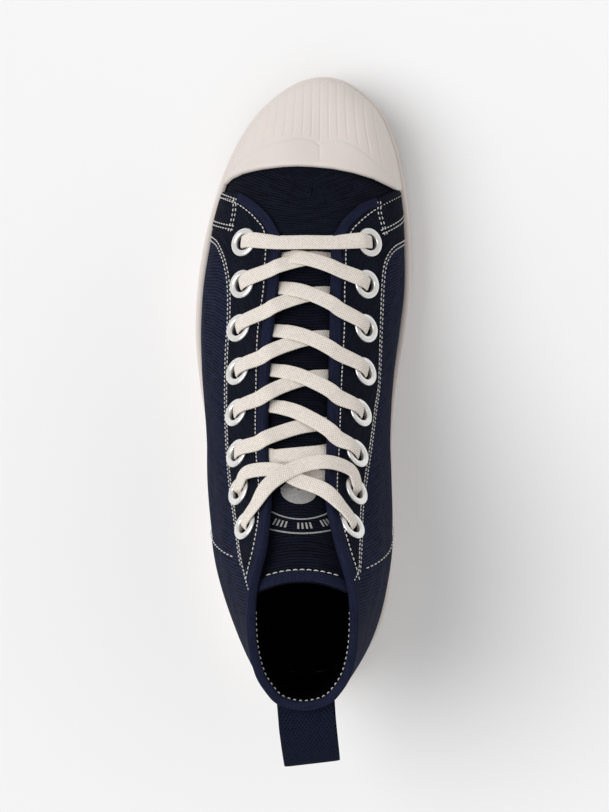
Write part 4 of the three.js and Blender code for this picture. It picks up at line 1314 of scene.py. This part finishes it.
TOE_END = OUTLINE[:, 1].max() - 0.02
HEEL_END = OUTLINE[:, 1].min() + 0.02
outsole_part("tread_forefoot", WAIST[1], TOE_END, 0.46, ["outsole"])
outsole_part("tread_waist", WAIST[0], WAIST[1], 0.6)
outsole_part("tread_heel", HEEL_END, WAIST[0], 0.46)

# %% The footbed


def footbed():
    """A cloth-covered cushion on the outsole: slightly dished, with a rounded rim."""
    wall = sidewall(DENSE, plate_top(DENSE) + 2, INSET + WALL + 0.15 + 0 * DENSE)[0]
    ahead = np.linspace(wall[:, 1].min() + 0.05, wall[:, 1].max() - 0.05, 110)
    t = np.linspace(0, 1, 60)
    x, width = span(wall, ahead, t)
    ground = np.interp(ahead, along(TO_TOE), plate_top(TO_TOE))[:, None] + 0 * x
    rim = np.minimum(t, 1 - t)[None, :] * width
    dish = 3.0 + 1.2 * np.exp(-rim / 5.0) - 1.0 * np.exp(-rim / 0.8)
    top = np.stack([x, ahead[:, None] + 0 * x, ground + dish], -1)
    bottom = np.stack([x, ahead[:, None] + 0 * x, ground + 0.2], -1)
    rings, uv = sheet_rings(top, bottom, top[..., :2])
    return piece("footbed", rings, loft(rings, uv), LINING, replaces=["insole"])


footbed()

# %% [markdown]
# ## Eyelets
#
# An eyelet is a short tube pressed through the facing with its ends rolled over. Its profile is a small ring of
# points in radius and height, turned round the hole's axis and set on the cloth at the eyelet's place.

# %% Eyelets
FACE_AT_EYELETS = 1.25      # lift of the facing's cloth
ROLL = {"inner": 3.4, "outer": 6.15, "rise": 1.15, "bottom": -2.2}


def eyelet_rings():
    """The profile: up the bore, over a rounded roll, and back under it to the tube's outside."""
    turn = np.linspace(np.pi, 0, 13)
    middle, half = (ROLL["inner"] + ROLL["outer"]) / 2, (ROLL["outer"] - ROLL["inner"]) / 2
    roll = np.stack([middle + half * np.cos(turn), 0.18 + (ROLL["rise"] - 0.18) * np.sin(turn) ** 0.8], -1)
    bore = [[ROLL["inner"], ROLL["bottom"]], [ROLL["inner"], -0.6]]
    back = [[ROLL["outer"] - 0.1, 0.0], [ROLL["inner"] + 0.45, 0.0], [ROLL["inner"] + 0.35, ROLL["bottom"]]]
    return np.concatenate([bore, roll, back])


def hole(side, index):
    """Centre and normal of an eyelet's hole, on the skin."""
    place, v = EYELET_AT[side]
    return face(place[index], v[index])


def eyelet(side, index):
    """The profile turned round the hole's axis."""
    centre, normal = hole(side, index)
    ahead = unit(np.array([0, 1.0, 0]) - normal[1] * normal)
    aside = np.cross(ahead, normal)
    profile = eyelet_rings()
    turn = 2 * np.pi * np.arange(40) / 40
    out = np.cos(turn)[:, None] * ahead + np.sin(turn)[:, None] * aside
    rings = centre + out[:, None] * profile[None, :, :1] + normal * (profile[None, :, 1:] + FACE_AT_EYELETS)
    u = np.append(turn, 2 * np.pi)[:, None] * ROLL["outer"] + np.zeros(len(profile) + 1)
    uv = np.stack([u, np.arange(len(profile) + 1)[None, :] * 0.5 + 0 * u], -1)
    return piece(f"ring_{side}_{index + 1}", rings, loft(rings, uv, closed=True), STEEL,
                 replaces=[f"eyelet_{side}_{index + 1}"], sharp=60)


for side in ("outer", "inner"):
    for index in range(len(EYELETS["ahead"])):
        eyelet(side, index)
print("eyelets:", 2 * len(EYELETS["ahead"]))

# %% [markdown]
# ## The tongue
#
# The tongue starts under the throat's front corner, bridges the throat below the laces and stands free at its
# top, where its edge is folded over and stitched. Each section is a smooth curve that starts and ends along the
# inside of the facings.

# %% The tongue
TONGUE_LAP = 11.0
TONGUE_DEPTH = 3.5
TONGUE_THICK = 1.6
TONGUE_TOP = table("ahead height mid half dome curl", [
    [57, 125.0, 3.2, 16.4, 3.2, 2.0], [52, 128.6, 3.4, 17.4, 3.4, 3.4], [48.6, 130.8, 3.6, 17.9, 3.5, 4.4]])
TONGUE_ROWS, TONGUE_COLUMNS = 190, 81
HEM = 4.6                   # how far the tape reaches down from the tongue's top edge


def instep_section(place, count=49):
    """A curve across the instep at each place: inside one facing, over the throat, inside the other facing."""
    ends = []
    for at in (place, AROUND - place):
        rate = edge_rate(at)
        ends.append([face(at, 1 - share * TONGUE_LAP / rate, -TONGUE_DEPTH + 0 * rate)[0]
                     for share in (1, 0.5, 0)])
    outer, inner = ends
    start, stop = outer[2], inner[2]
    reach = np.linalg.norm(stop - start, axis=-1, keepdims=True) * 0.55 / 3
    leave, arrive = unit(outer[2] - outer[1]) * reach, unit(inner[2] - inner[1]) * reach
    t = np.linspace(0, 1, count)[None, :, None]
    over = bezier(t, *(value[:, None] for value in (start, start + leave, stop + arrive, stop)))
    under = [value[:, None] for value in (outer[0], outer[1], inner[1], inner[0])]
    return np.concatenate(under[:2] + [over] + under[2:], 1)


def tongue_face():
    """The tongue's upper face as a grid: sections under the facings, then the free top."""
    place = np.linspace(12.6, 7.2, 70)
    body = instep_section(place)
    across = body.shape[1]
    w = np.linspace(-1, 1, across)
    free = [np.stack([mid + w * half, ahead - curl * (w * w - 0.35), height - dome * w * w], -1)
            for ahead, height, mid, half, dome, curl in zip(*TONGUE_TOP.values())]
    stops = np.concatenate([body, np.stack(free)])
    rows = [through(stops[:, j], TONGUE_ROWS) for j in range(across)]
    return np.stack(rows, 1)


def even_columns(grid, count):
    """The same sheet with its columns at equal steps across."""
    return np.stack([np.stack([np.interp(np.linspace(0, lengths(row)[-1], count), lengths(row), row[:, axis])
                               for axis in range(3)], -1) for row in grid])


TONGUE_FACE = even_columns(tongue_face(), TONGUE_COLUMNS)
MIDDLE = TONGUE_COLUMNS // 2
TONGUE_RUN = lengths(TONGUE_FACE[:, MIDDLE])    # running length up the tongue's middle


def grid_normals(grid):
    """Upward normals of a grid of points: the cross product of its two directions."""
    normal = unit(np.cross(np.gradient(grid, axis=0), np.gradient(grid, axis=1)))
    return normal * np.sign(normal[..., 2].mean())


def tongue():
    """The sheet, thicker where its top edge is folded over, with a faint ripple."""
    normal = grid_normals(TONGUE_FACE)
    from_top = TONGUE_RUN[-1] - TONGUE_RUN[:, None]
    hem = 0.6 * (1 - soft_step(from_top, HEM - 0.3, HEM + 0.3)) - 0.8 * (1 - soft_step(from_top, 0.0, 0.9))
    ripple = 0.25 * np.sin(TONGUE_RUN[:, None] / 9.0) * np.sin(np.linspace(0, 3, TONGUE_COLUMNS))[None, :]
    outer = TONGUE_FACE + normal * (hem + ripple)[..., None]
    inner = TONGUE_FACE - normal * TONGUE_THICK
    rings, uv = sheet_rings(outer, inner, cloth_map(TONGUE_FACE))
    on_hem = np.broadcast_to(from_top[:-1] < HEM, (len(rings) - 1, rings.shape[1])).ravel()
    return piece("tongue_sheet", rings, loft(rings, uv), TONGUE_CLOTH, replaces=["tongue"],
                 second=BINDING, on_second=on_hem)


tongue()
print("tongue is", round(TONGUE_RUN[-1]), "mm long down its middle")


def on_tongue(from_top, aside, lift):
    """Points on the tongue's face: millimetres down from its top edge, sideways from its middle, and above
    it. Between the grid's points it mixes the four nearest."""
    rows = np.arange(TONGUE_ROWS)
    row = np.interp(TONGUE_RUN[-1] - np.asarray(from_top, float), TONGUE_RUN, rows)
    widths = np.linalg.norm(TONGUE_FACE[:, -1] - TONGUE_FACE[:, 0], axis=-1)
    column = MIDDLE + np.asarray(aside, float) / np.interp(row, rows, widths) * (TONGUE_COLUMNS - 1)
    normal = grid_normals(TONGUE_FACE)
    r, c = np.clip(row, 0, TONGUE_ROWS - 1.001), np.clip(column, 0, TONGUE_COLUMNS - 1.001)
    r0, c0 = r.astype(int), c.astype(int)
    a, b = (r - r0)[..., None], (c - c0)[..., None]

    def read(grid):
        below = (1 - b) * grid[r0, c0] + b * grid[r0, c0 + 1]
        over = (1 - b) * grid[r0 + 1, c0] + b * grid[r0 + 1, c0 + 1]
        return (1 - a) * below + a * over
    direction = unit(read(normal))
    return read(TONGUE_FACE) + direction * np.asarray(lift, float)[..., None], direction


# %% [markdown]
# The badge is printed on the tongue: two thin rings, a disc and a round of short bars, with no words.

# %% The badge
BADGE_DOWN = 41.5           # its centre, down from the tongue's top edge


def on_badge(radius, turn, height):
    """Points of the tongue at a radius and angle round the badge's centre."""
    return on_tongue(BADGE_DOWN + radius * np.cos(turn), radius * np.sin(turn), height + 0 * turn)[0]


def badge_ring(name, inner, outer):
    """A flat ring, its top in steps of about 0.8 mm so that it follows the tongue's curve."""
    turn = 2 * np.pi * np.arange(96) / 96
    across = np.linspace(inner, outer, 2 + int((outer - inner) / 0.8))
    section = [(radius, 0.06) for radius in across[::-1]] + [(radius, 0.28) for radius in across]
    rings = np.stack([on_badge(radius, turn, height) for radius, height in section], 1)
    uv = np.stack(np.meshgrid(np.arange(97) * 1.0, np.arange(len(section) + 1) * 0.5, indexing="ij"), -1)
    return piece(name, rings, loft(rings, uv, closed=True), INK)


def badge_ticks(name, inner, outer, count):
    """Short radial bars in the band between two of the rings, as flat four-sided strips."""
    turn = 2 * np.pi * (np.arange(count) + 0.5) / count
    turn = turn[np.mod(np.arange(count), 6) < 4]
    corners = []
    for height in (0.1, 0.26):
        for side, radius in ((-1, inner), (1, inner), (1, outer), (-1, outer)):
            corners.append(on_badge(radius, turn + side * 0.22 * 2 * np.pi / count, height))
    points = np.stack(corners, 1)
    box = np.array([[0, 1, 5, 4], [1, 2, 6, 5], [2, 3, 7, 6], [3, 0, 4, 7], [4, 5, 6, 7], [3, 2, 1, 0]])
    faces = (box[None] + 8 * np.arange(len(turn))[:, None, None]).reshape(-1, 4)
    uv = np.zeros((len(faces), 4, 2)) + np.array([[0, 0], [1, 0], [1, 1], [0, 1]])
    return piece(name, points, [(faces, uv)], INK)


badge_ring("badge_ring_outer", 19.3, 19.9)
badge_ring("badge_ring_middle", 13.0, 13.5)
badge_ring("badge_disc", 0.3, 6.4)
badge_ticks("badge_ticks", 14.9, 17.6, 66)

# %% [markdown]
# ## The lace
#
# One flat lace runs through all sixteen eyelets. It starts inside the collar, comes back down through the top
# eyelet, crosses, and so on forwards to the straight bar between the front eyelets, and returns on the other
# side. Its path is a list of stops, each a point and the direction of the lace's width, and the stops at an
# eyelet repeat in the same way: over the ring, down through the hole, and on below the facing.

# %% Where the lace can lie
LACE_WIDTH = 6.6
LACE_THICK = 1.25
LACE_STEP = 0.95            # between two sections
OVER_RING = FACE_AT_EYELETS + ROLL["rise"] + LACE_THICK / 2 + 0.1
BELOW = -WALL - LACE_THICK / 2 - 0.45


def throat_edge(ahead, side):
    """Point and normal on the throat's edge at that distance along the shoe, on the outer or inner side."""
    dense = np.linspace(5, 13, 400)
    place = np.interp(ahead, even(RIBS["topAlong"])(dense), dense)
    return face(np.where(side == "outer", place, AROUND - place), 1.0)


def above(x, ahead, height):
    """A point straight above the cloth, or above the line between the throat's edges. It is height away from
    that surface, measured square to it."""
    (left, left_normal), (right, right_normal) = (throat_edge(ahead, side) for side in ("outer", "inner"))
    share = (x - left[0]) / (right[0] - left[0])
    if 0 < share < 1:
        normal = unit(left_normal * (1 - share) + right_normal * share)
        point = left * (1 - share) + right * share
    else:
        point, normal = face(*locate(x, ahead))
    return point + np.array([0, 0, height / max(normal[2], 0.5)])


def stop(point, width_axis, width=LACE_WIDTH):
    """Seven numbers: a point, the direction of the lace's width there, and that width."""
    return np.concatenate([point, width_axis, [width]])


def flipped(stops, flip):
    """The same stops with the direction of the width turned round if flip is -1."""
    return [stop(s[:3], s[3:6] * flip, s[6]) for s in stops]


def eyelet_stops(side, index, arriving, leave_to):
    """Over the ring, down its hole and back below the facing, at one eyelet. arriving points at the eyelet."""
    centre, normal = hole(side, index)
    arriving = unit(arriving - (arriving @ normal) * normal)
    axis = np.cross(arriving, normal)
    back = unit(leave_to - centre)
    back = unit(back - (back @ normal) * normal)
    under_axis = -np.cross(back, normal)
    return [
        stop(centre - arriving * 5.6 + normal * OVER_RING, axis, LACE_WIDTH),
        stop(centre - arriving * 2.4 + normal * (OVER_RING - 0.15), axis, LACE_WIDTH * 0.9),
        stop(centre + arriving * 0.3 + normal * (OVER_RING - 1.2), axis, LACE_WIDTH * 0.8),
        stop(centre + arriving * 0.9, axis, LACE_WIDTH * 0.72),
        stop(centre + arriving * 0.2 + normal * (BELOW - 0.1), axis * 0.5 + under_axis * 0.5, LACE_WIDTH * 0.75),
        stop(centre + back * 4.0 + normal * BELOW, under_axis, LACE_WIDTH * 0.9),
    ]


print("the lace passes", round(OVER_RING, 2), "mm over the skin at a ring")

# %% The lace's path
CROSSINGS = table("row outer inner", [[2, 181.4, 181.2], [3, 168, 166], [4, 150.2, 147.7], [5, 133.8, 131.4],
                                      [6, 119.1, 112]])
BEND = 2.0
OVER_TAPE = TAPE_FACES[0] + LACE_THICK / 2 + 0.2
OVER_FACING = FACE_AT_EYELETS + LACE_THICK / 2 + 0.3
# Heights over the line between the throat's edges, for the upper and the lower lace of a crossing.
HIGH = [BELOW, BELOW + 0.9, 0.3, 2.2, 3.1, 3.3, OVER_TAPE + 0.5, OVER_FACING + 0.4]
LOW = [BELOW, BELOW + 0.9, -0.4, 0.7, 1.5, 2.0, OVER_TAPE + 0.6, OVER_FACING + 0.3]
INSTEP_UP = np.array([0.0, 0.5, 0.87])      # square to the instep, along the middle of the shoe
BAR_MIDDLE = 2.6                            # x of the middle of the front bar
OTHER = {"outer": "inner", "inner": "outer"}


def flat_axis(direction):
    """The direction of a lace's width where it lies flat on the instep: square to its path and to INSTEP_UP."""
    return unit(np.cross(direction, INSTEP_UP))


def cross_over(side, row, ahead, heights):
    """A lace from below one facing's edge, over the throat and the other facing, to the eyelet of that row. Seen
    from above it leaves square to the edge and bends back, as the share of the way to the power BEND."""
    sign = 1 if side == "outer" else -1
    x, to = EYELETS[OTHER[side]][row - 1], EYELETS["ahead"][row - 1]
    near = throat_edge(ahead, side)[0][0]
    far = throat_edge(ahead + 0.45 * (to - ahead), OTHER[side])[0][0]
    spots = [near - sign * 2.0, near + sign * 1.2, near + sign * 3.6, near + sign * 6.5, (near + far) / 2,
             far - sign * 5.0, far, far + sign * 4.0]
    share = [max((spot - near) / (x - near), 0) for spot in spots]
    return [above(spot, ahead + (to - ahead) * part ** BEND, height)
            for spot, part, height in zip(spots, share, heights)]


def forward(points):
    """Stops with their width axes from a run of points."""
    points = np.array(points)
    direction = unit(np.gradient(points, axis=0))
    return [stop(point, flat_axis(way)) for point, way in zip(points, direction)]


def strand(side):
    """Half the lace, from the middle of the front bar to the inside of the collar. It enters the front eyelet on
    that side, and changes sides at every crossing."""
    sign = -1 if side == "outer" else 1
    front = EYELETS["ahead"][0]
    middle, nearer = above(BAR_MIDDLE, front, 2.9), above(BAR_MIDDLE + sign * 12.0, front, 2.2)
    stops = [stop(point, flat_axis(np.array([sign, 0.0, 0.0]))) for point in (middle, nearer)]
    here, flip, arriving = side, 1, unit(hole(side, 0)[0] - middle)
    for k, row in enumerate(CROSSINGS["row"].astype(int)):
        ahead = CROSSINGS[here][k]
        points = cross_over(here, row, ahead, HIGH if here == "outer" else LOW)
        stops += flipped(eyelet_stops(here, row - 2, arriving, points[0]), flip)
        flip = -flip
        stops += flipped(forward(points), flip)
        here = OTHER[here]
        arriving = unit(hole(here, row - 1)[0] - points[-1])
    return stops, here, arriving, flip


# Where the two laces cross under the facings: leaving and entering distance along the shoe, and height.
UNDER_CROSSING = {"outer": (96.0, 90.5, -0.5), "inner": (100.5, 98.7, 0.6)}


def under_and_up(stops, here, arriving, flip):
    """Down through the sixth eyelet and below the facings towards the seventh on the other side."""
    other = OTHER[here]
    sign = 1 if here == "outer" else -1
    leaves, enters, low = UNDER_CROSSING[here]
    near, far = throat_edge(leaves, here)[0][0], throat_edge(enters, other)[0][0]
    dip = BELOW + 1.9 + low
    across = [above(near - sign * 2.0, leaves + 0.8, BELOW), above(near + sign * 3.0, leaves, dip),
              above((near + far) / 2, (leaves + enters) / 2, 0.5 + low),
              above(far - sign * 3.0, enters, dip), above(far + sign * 2.0, enters - 1.2, BELOW)]
    stops += flipped(eyelet_stops(here, 5, arriving, across[0]), flip) + flipped(forward(across), -flip)
    return stops, other, -flip


TOP_LACES = {               # x, distance ahead and height
    "inner": [(24.6, 88.0, 3.1), (22.0, 93.6, 3.6), (12.5, 96.8, 4.1), (1.3, 94.8, 4.9), (-9.8, 88.3, 4.4),
              (-16, 79.5, 3.6)],
    "outer": [(-22.8, 88.0, 3.1), (-19.5, 92.6, 3.3), (-8, 93.6, 3.4), (1.3, 89.5, 3.4), (12, 85.5, 3.3),
              (19.2, 78.8, 3.5)],
}


COLLAR_MIDDLE = 2
COLLAR_UP = np.array([0, 0.55, 0.83])   # square to the top laces between the facings


def over_the_top(stops, here, flip):
    """Up through the seventh eyelet, over to the eighth on the other side and down into the collar."""
    centre, normal = hole(here, 6)
    points = np.array([above(*spot) for spot in TOP_LACES[here]])
    way = unit(np.gradient(points, axis=0))
    ahead_axis = np.array([0.0, 1.0, 0.0])
    rise_axis = unit(np.cross(normal, ahead_axis))
    up = [stop(centre + normal * BELOW - ahead_axis * 2.5, rise_axis * flip, LACE_WIDTH * 0.8),
          stop(centre - ahead_axis * 0.4, rise_axis * flip, LACE_WIDTH * 0.75),
          stop(centre + normal * 2.2 + ahead_axis * 0.6, rise_axis * flip, LACE_WIDTH * 0.8)]
    normals = np.array([face(*locate(x, ahead))[1] if abs(x - COLLAR_MIDDLE) > 14 else COLLAR_UP
                        for x, ahead, _ in points])
    flats = unit(np.cross(way, normals))
    flats = flats * np.sign(flats[0] @ rise_axis) * flip
    eighth = hole(OTHER[here], 7)[0]
    into = eyelet_stops(OTHER[here], 7, unit(eighth - points[-1]), eighth + np.array([0.0, -6.0, -6.0]))
    sign = np.sign(into[0][3:6] @ flats[-1])
    return stops + up + [stop(*pair) for pair in zip(points, flats)] + flipped(into[1:5], sign)


def lace():
    """Both halves joined at the front bar into one strip, thinner and narrower where it bends into a hole."""
    halves = []
    for side in ("outer", "inner"):
        stops, here, arriving, flip = strand(side)
        stops, here, flip = under_and_up(stops, here, arriving, flip)
        halves.append(np.array(over_the_top(stops, here, flip)))
    first = halves[0][::-1] * np.array([1, 1, 1, -1, -1, -1, 1])
    stops = np.concatenate([first, halves[1][1:]])
    run = lengths(stops[:, :3])[-1]
    path = through(stops, int(run / LACE_STEP))
    rings, uv = ribbon(path[:, :3], path[:, 3:6], path[:, 6], LACE_THICK, 0.55, 18)
    piece("lace", rings, loft(rings, uv), LACE, sharp=80,
          replaces=[f"lace_{row}" for row in range(1, 9)])
    print("the lace is", round(run), "mm long in the shoe")


lace()

# %% [markdown]
# ## Stitches
#
# Every seam is sewn with white thread, and from a metre away the dashes are what makes a shoe look sewn. One
# stitch is a small capsule that dips at both ends, and a whole seam is the same capsule set again and again
# along a line on the skin, all of them in one mesh.

# %% Stitches
STITCH = {"pitch": 2.0, "long": 1.4, "radius": 0.26}
THREADS = []


def stitch_template():
    """A capsule along x from -0.5 to 0.5: five rings of six points whose radius follows a half circle."""
    at = np.array([-0.5, -0.36, 0.0, 0.36, 0.5])
    radius = np.array([0.25, 0.85, 1.0, 0.85, 0.25])
    sink = np.array([-1.3, -0.25, 0.15, -0.25, -1.3])
    turn = 2 * np.pi * np.arange(6) / 6
    across, high = radius[:, None] * np.cos(turn), sink[:, None] + radius[:, None] * np.sin(turn)
    points = np.stack([at[:, None] + 0 * turn, across, high], -1)
    uv = np.stack(np.meshgrid(at, np.arange(7) / 6, indexing="ij"), -1)
    return points.reshape(-1, 3), loft(points, uv)


def sew(points, normals, pitch=STITCH["pitch"], long=STITCH["long"]):
    """Set stitches along a line of points and keep them for the one mesh of thread."""
    run = lengths(points)
    count = max(int(run[-1] / pitch), 1)
    middle = (np.arange(count) + 0.5) * run[-1] / count
    ends = [np.stack([np.interp(middle + shift, run, points[:, axis]) for axis in range(3)], -1)
            for shift in (-long / 2, long / 2)]
    normal = unit(np.stack([np.interp(middle, run, normals[:, axis]) for axis in range(3)], -1))
    ahead = unit(ends[1] - ends[0])
    aside = np.cross(normal, ahead)
    centre = (ends[0] + ends[1]) / 2
    template, blocks = stitch_template()
    axes = np.stack([ahead * long, aside * STITCH["radius"], normal * STITCH["radius"]], 1)
    THREADS.append((centre[:, None] + template @ axes, blocks))


def sew_on_skin(stops, lift, **more):
    """A seam along (place, v) stops, at a lift over the skin."""
    spot = cubic_line(stops, 40)
    points, normals = face(spot[:, 0], spot[:, 1], np.full(len(spot), float(lift)))
    sew(points, normals, **more)


def beside(stops, distance):
    """The same line moved sideways on the skin by a distance in millimetres. A move of p by place and q by v
    has these products with the two slopes of the skin, which gives two equations for p and q."""
    stops = np.asarray(stops, float)
    points, normals = face(stops[:, 0], stops[:, 1])
    ahead = unit(np.gradient(points, axis=0))
    aside = np.cross(normals, ahead)
    step = 1e-3
    by_place = (face(stops[:, 0] + step, stops[:, 1])[0] - points) / step
    by_v = (face(stops[:, 0], stops[:, 1] - step)[0] - points) / -step
    a = np.einsum("ij,ij->i", by_place, by_place)
    b = np.einsum("ij,ij->i", by_place, by_v)
    c = np.einsum("ij,ij->i", by_v, by_v)
    p = np.einsum("ij,ij->i", by_place, aside) * distance
    q = np.einsum("ij,ij->i", by_v, aside) * distance
    area = a * c - b * b
    return stops + np.stack([(p * c - q * b) / area, (q * a - p * b) / area], -1)


TOP = CLOTH + 0.4 + 0.16     # lift of thread on the facings
EDGE_SEAM = {
    "outer": [(13.2, 0.03), (13.27, 0.287), (13.2, 0.422), (13.06, 0.539), (12.8, 0.656), (12.52, 0.755),
              (11.95, 0.875), (11.19, 0.893), (10.41, 0.893), (9.82, 0.905), (9.24, 0.917), (8.65, 0.925),
              (7.89, 0.935), (6.73, 0.948), (6.0, 0.945), (5.21, 0.94)],
    "inner": [(24.72, 0.03), (24.8, 0.287), (24.9, 0.44), (25.05, 0.55), (25.28, 0.66), (25.55, 0.76),
              (26.05, 0.875), (26.8, 0.89), (27.6, 0.893), (28.2, 0.905), (28.8, 0.917), (29.4, 0.925),
              (30.1, 0.935), (31.3, 0.948), (32.0, 0.945), (32.8, 0.94)],
}
HEEL_SEAM_ENDS = {"outer": (0.0, 0.78), "inner": (0.0, 0.86)}
for side in ("outer", "inner"):
    outwards = -1 if side == "outer" else 1
    facing = [spot for spot in FACING[side] if spot[1] > 0]
    sew_on_skin(facing, TOP)
    sew_on_skin(beside(facing, outwards * 1.8)[:-1], CLOTH + 0.14)
    sew_on_skin(EDGE_SEAM[side], TOP + 0.05)
    heights = np.linspace(*HEEL_SEAM_ENDS[side], 8)
    seam = np.stack([np.interp(heights, HEEL_SEAM[side]["v"], HEEL_SEAM[side]["place"]), heights], -1)
    sew_on_skin(beside(seam, -outwards * 1.6), TOP, pitch=4.4, long=2.2)
    corners = np.array([spot for spot in PATCH[side] if spot[1] >= 0])
    for start, end in zip(corners[:-1], corners[1:]):
        line = np.linspace(start, end, 5)
        for inset in (1.3, 2.9):
            sew_on_skin(beside(line, outwards * inset), TOP + 0.3)

# Inside the collar, round the back from one throat edge to the other.
inside_place = np.mod(np.linspace(4.6, -4.6, 300), AROUND)
points, normals = face(inside_place, 1 - 2.0 / edge_rate(inside_place), -WALL - 0.7)
sew(points, -normals, pitch=2.3, long=1.35)

# Along the tongue's folded top edge.
sideways = np.linspace(-14.5, 14.5, 60)
points, normals = on_tongue(HEM + 0.9 + 0 * sideways, sideways, 0.2 + 0 * sideways)
sew(points, normals, pitch=2.6, long=2.1)


def thread_mesh():
    """All stitches as one mesh: the template's faces again for each stitch, numbered on from the last."""
    points, faces, maps, offset = [], {}, {}, 0
    for placed, template in THREADS:
        count, size = placed.shape[:2]
        shift = (np.arange(count) * size)[:, None, None] + offset
        for face_block, uv_block in template:
            key = face_block.shape[1]
            faces.setdefault(key, []).append((face_block[None] + shift).reshape(-1, key))
            maps.setdefault(key, []).append(np.tile(uv_block, (count, 1, 1)))
        points.append(placed.reshape(-1, 3))
        offset += count * size
    both = [(np.concatenate(faces[key]), np.concatenate(maps[key])) for key in faces]
    print("stitches:", sum(len(placed) for placed, _ in THREADS))
    return piece("stitching", np.concatenate(points), both, THREAD)


thread_mesh()

# %% [markdown]
# ## The pull loop
#
# A strap of webbing sewn to the back of the collar, folded on itself and standing out behind, to pull the shoe
# on by. Seen from the side its path is a long loop, and the strap is a flat section carried along it.

# %% The pull loop
LOOP = {"width": 22.5, "thick": 1.5, "middle": 3.7, "turn": 0.12, "back": -1.6}
LOOP_SIDE = table("back height", [[0, 113], [7, 112.6], [14.5, 110.6], [20, 107.6], [22.5, 104.6],
                                  [20.6, 101.6], [15, 99.3], [7.5, 95.6], [0.3, 92.5]])
HEEL_RADIUS = 18.0          # of the collar's curve at the back, in plan; the ends of the strap lie along it


def pull_loop():
    """The strap carried along its loop, turned a little to one side. Near the collar its two layers bend back
    by aside^2 / (2 HEEL_RADIUS), as a circle does, to lie along the heel."""
    ahead = LOOP["back"] - LOOP_SIDE["back"]
    side_path = through(np.stack([0 * ahead, ahead, LOOP_SIDE["height"]], -1), 90)
    c, s = math.cos(LOOP["turn"]), math.sin(LOOP["turn"])
    path = np.stack([LOOP["middle"] - s * side_path[:, 1], c * side_path[:, 1], side_path[:, 2]], -1)
    across = np.array([c, s, 0.0])
    rings, uv = ribbon(path, np.broadcast_to(across, path.shape), LOOP["width"], LOOP["thick"], 0.3, 60)
    near = 1 - soft_step(np.abs(side_path[:, 1] - LOOP["back"]), 0.0, 9.0)
    aside = (rings - path[:, None]) @ across
    rings[..., 1] += near[:, None] * aside ** 2 / (2 * HEEL_RADIUS)
    return piece("pull_strap", rings, loft(rings, uv), WEBBING, replaces=["pull_loop"])


pull_loop()

# %% Sizes, and the end
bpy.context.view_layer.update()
for name, count in sorted(made_triangles.items(), key=lambda item: -item[1])[:12]:
    print(f"{count:8d} triangles  {name}")
print(f"{sum(made_triangles.values()):8d} in all")
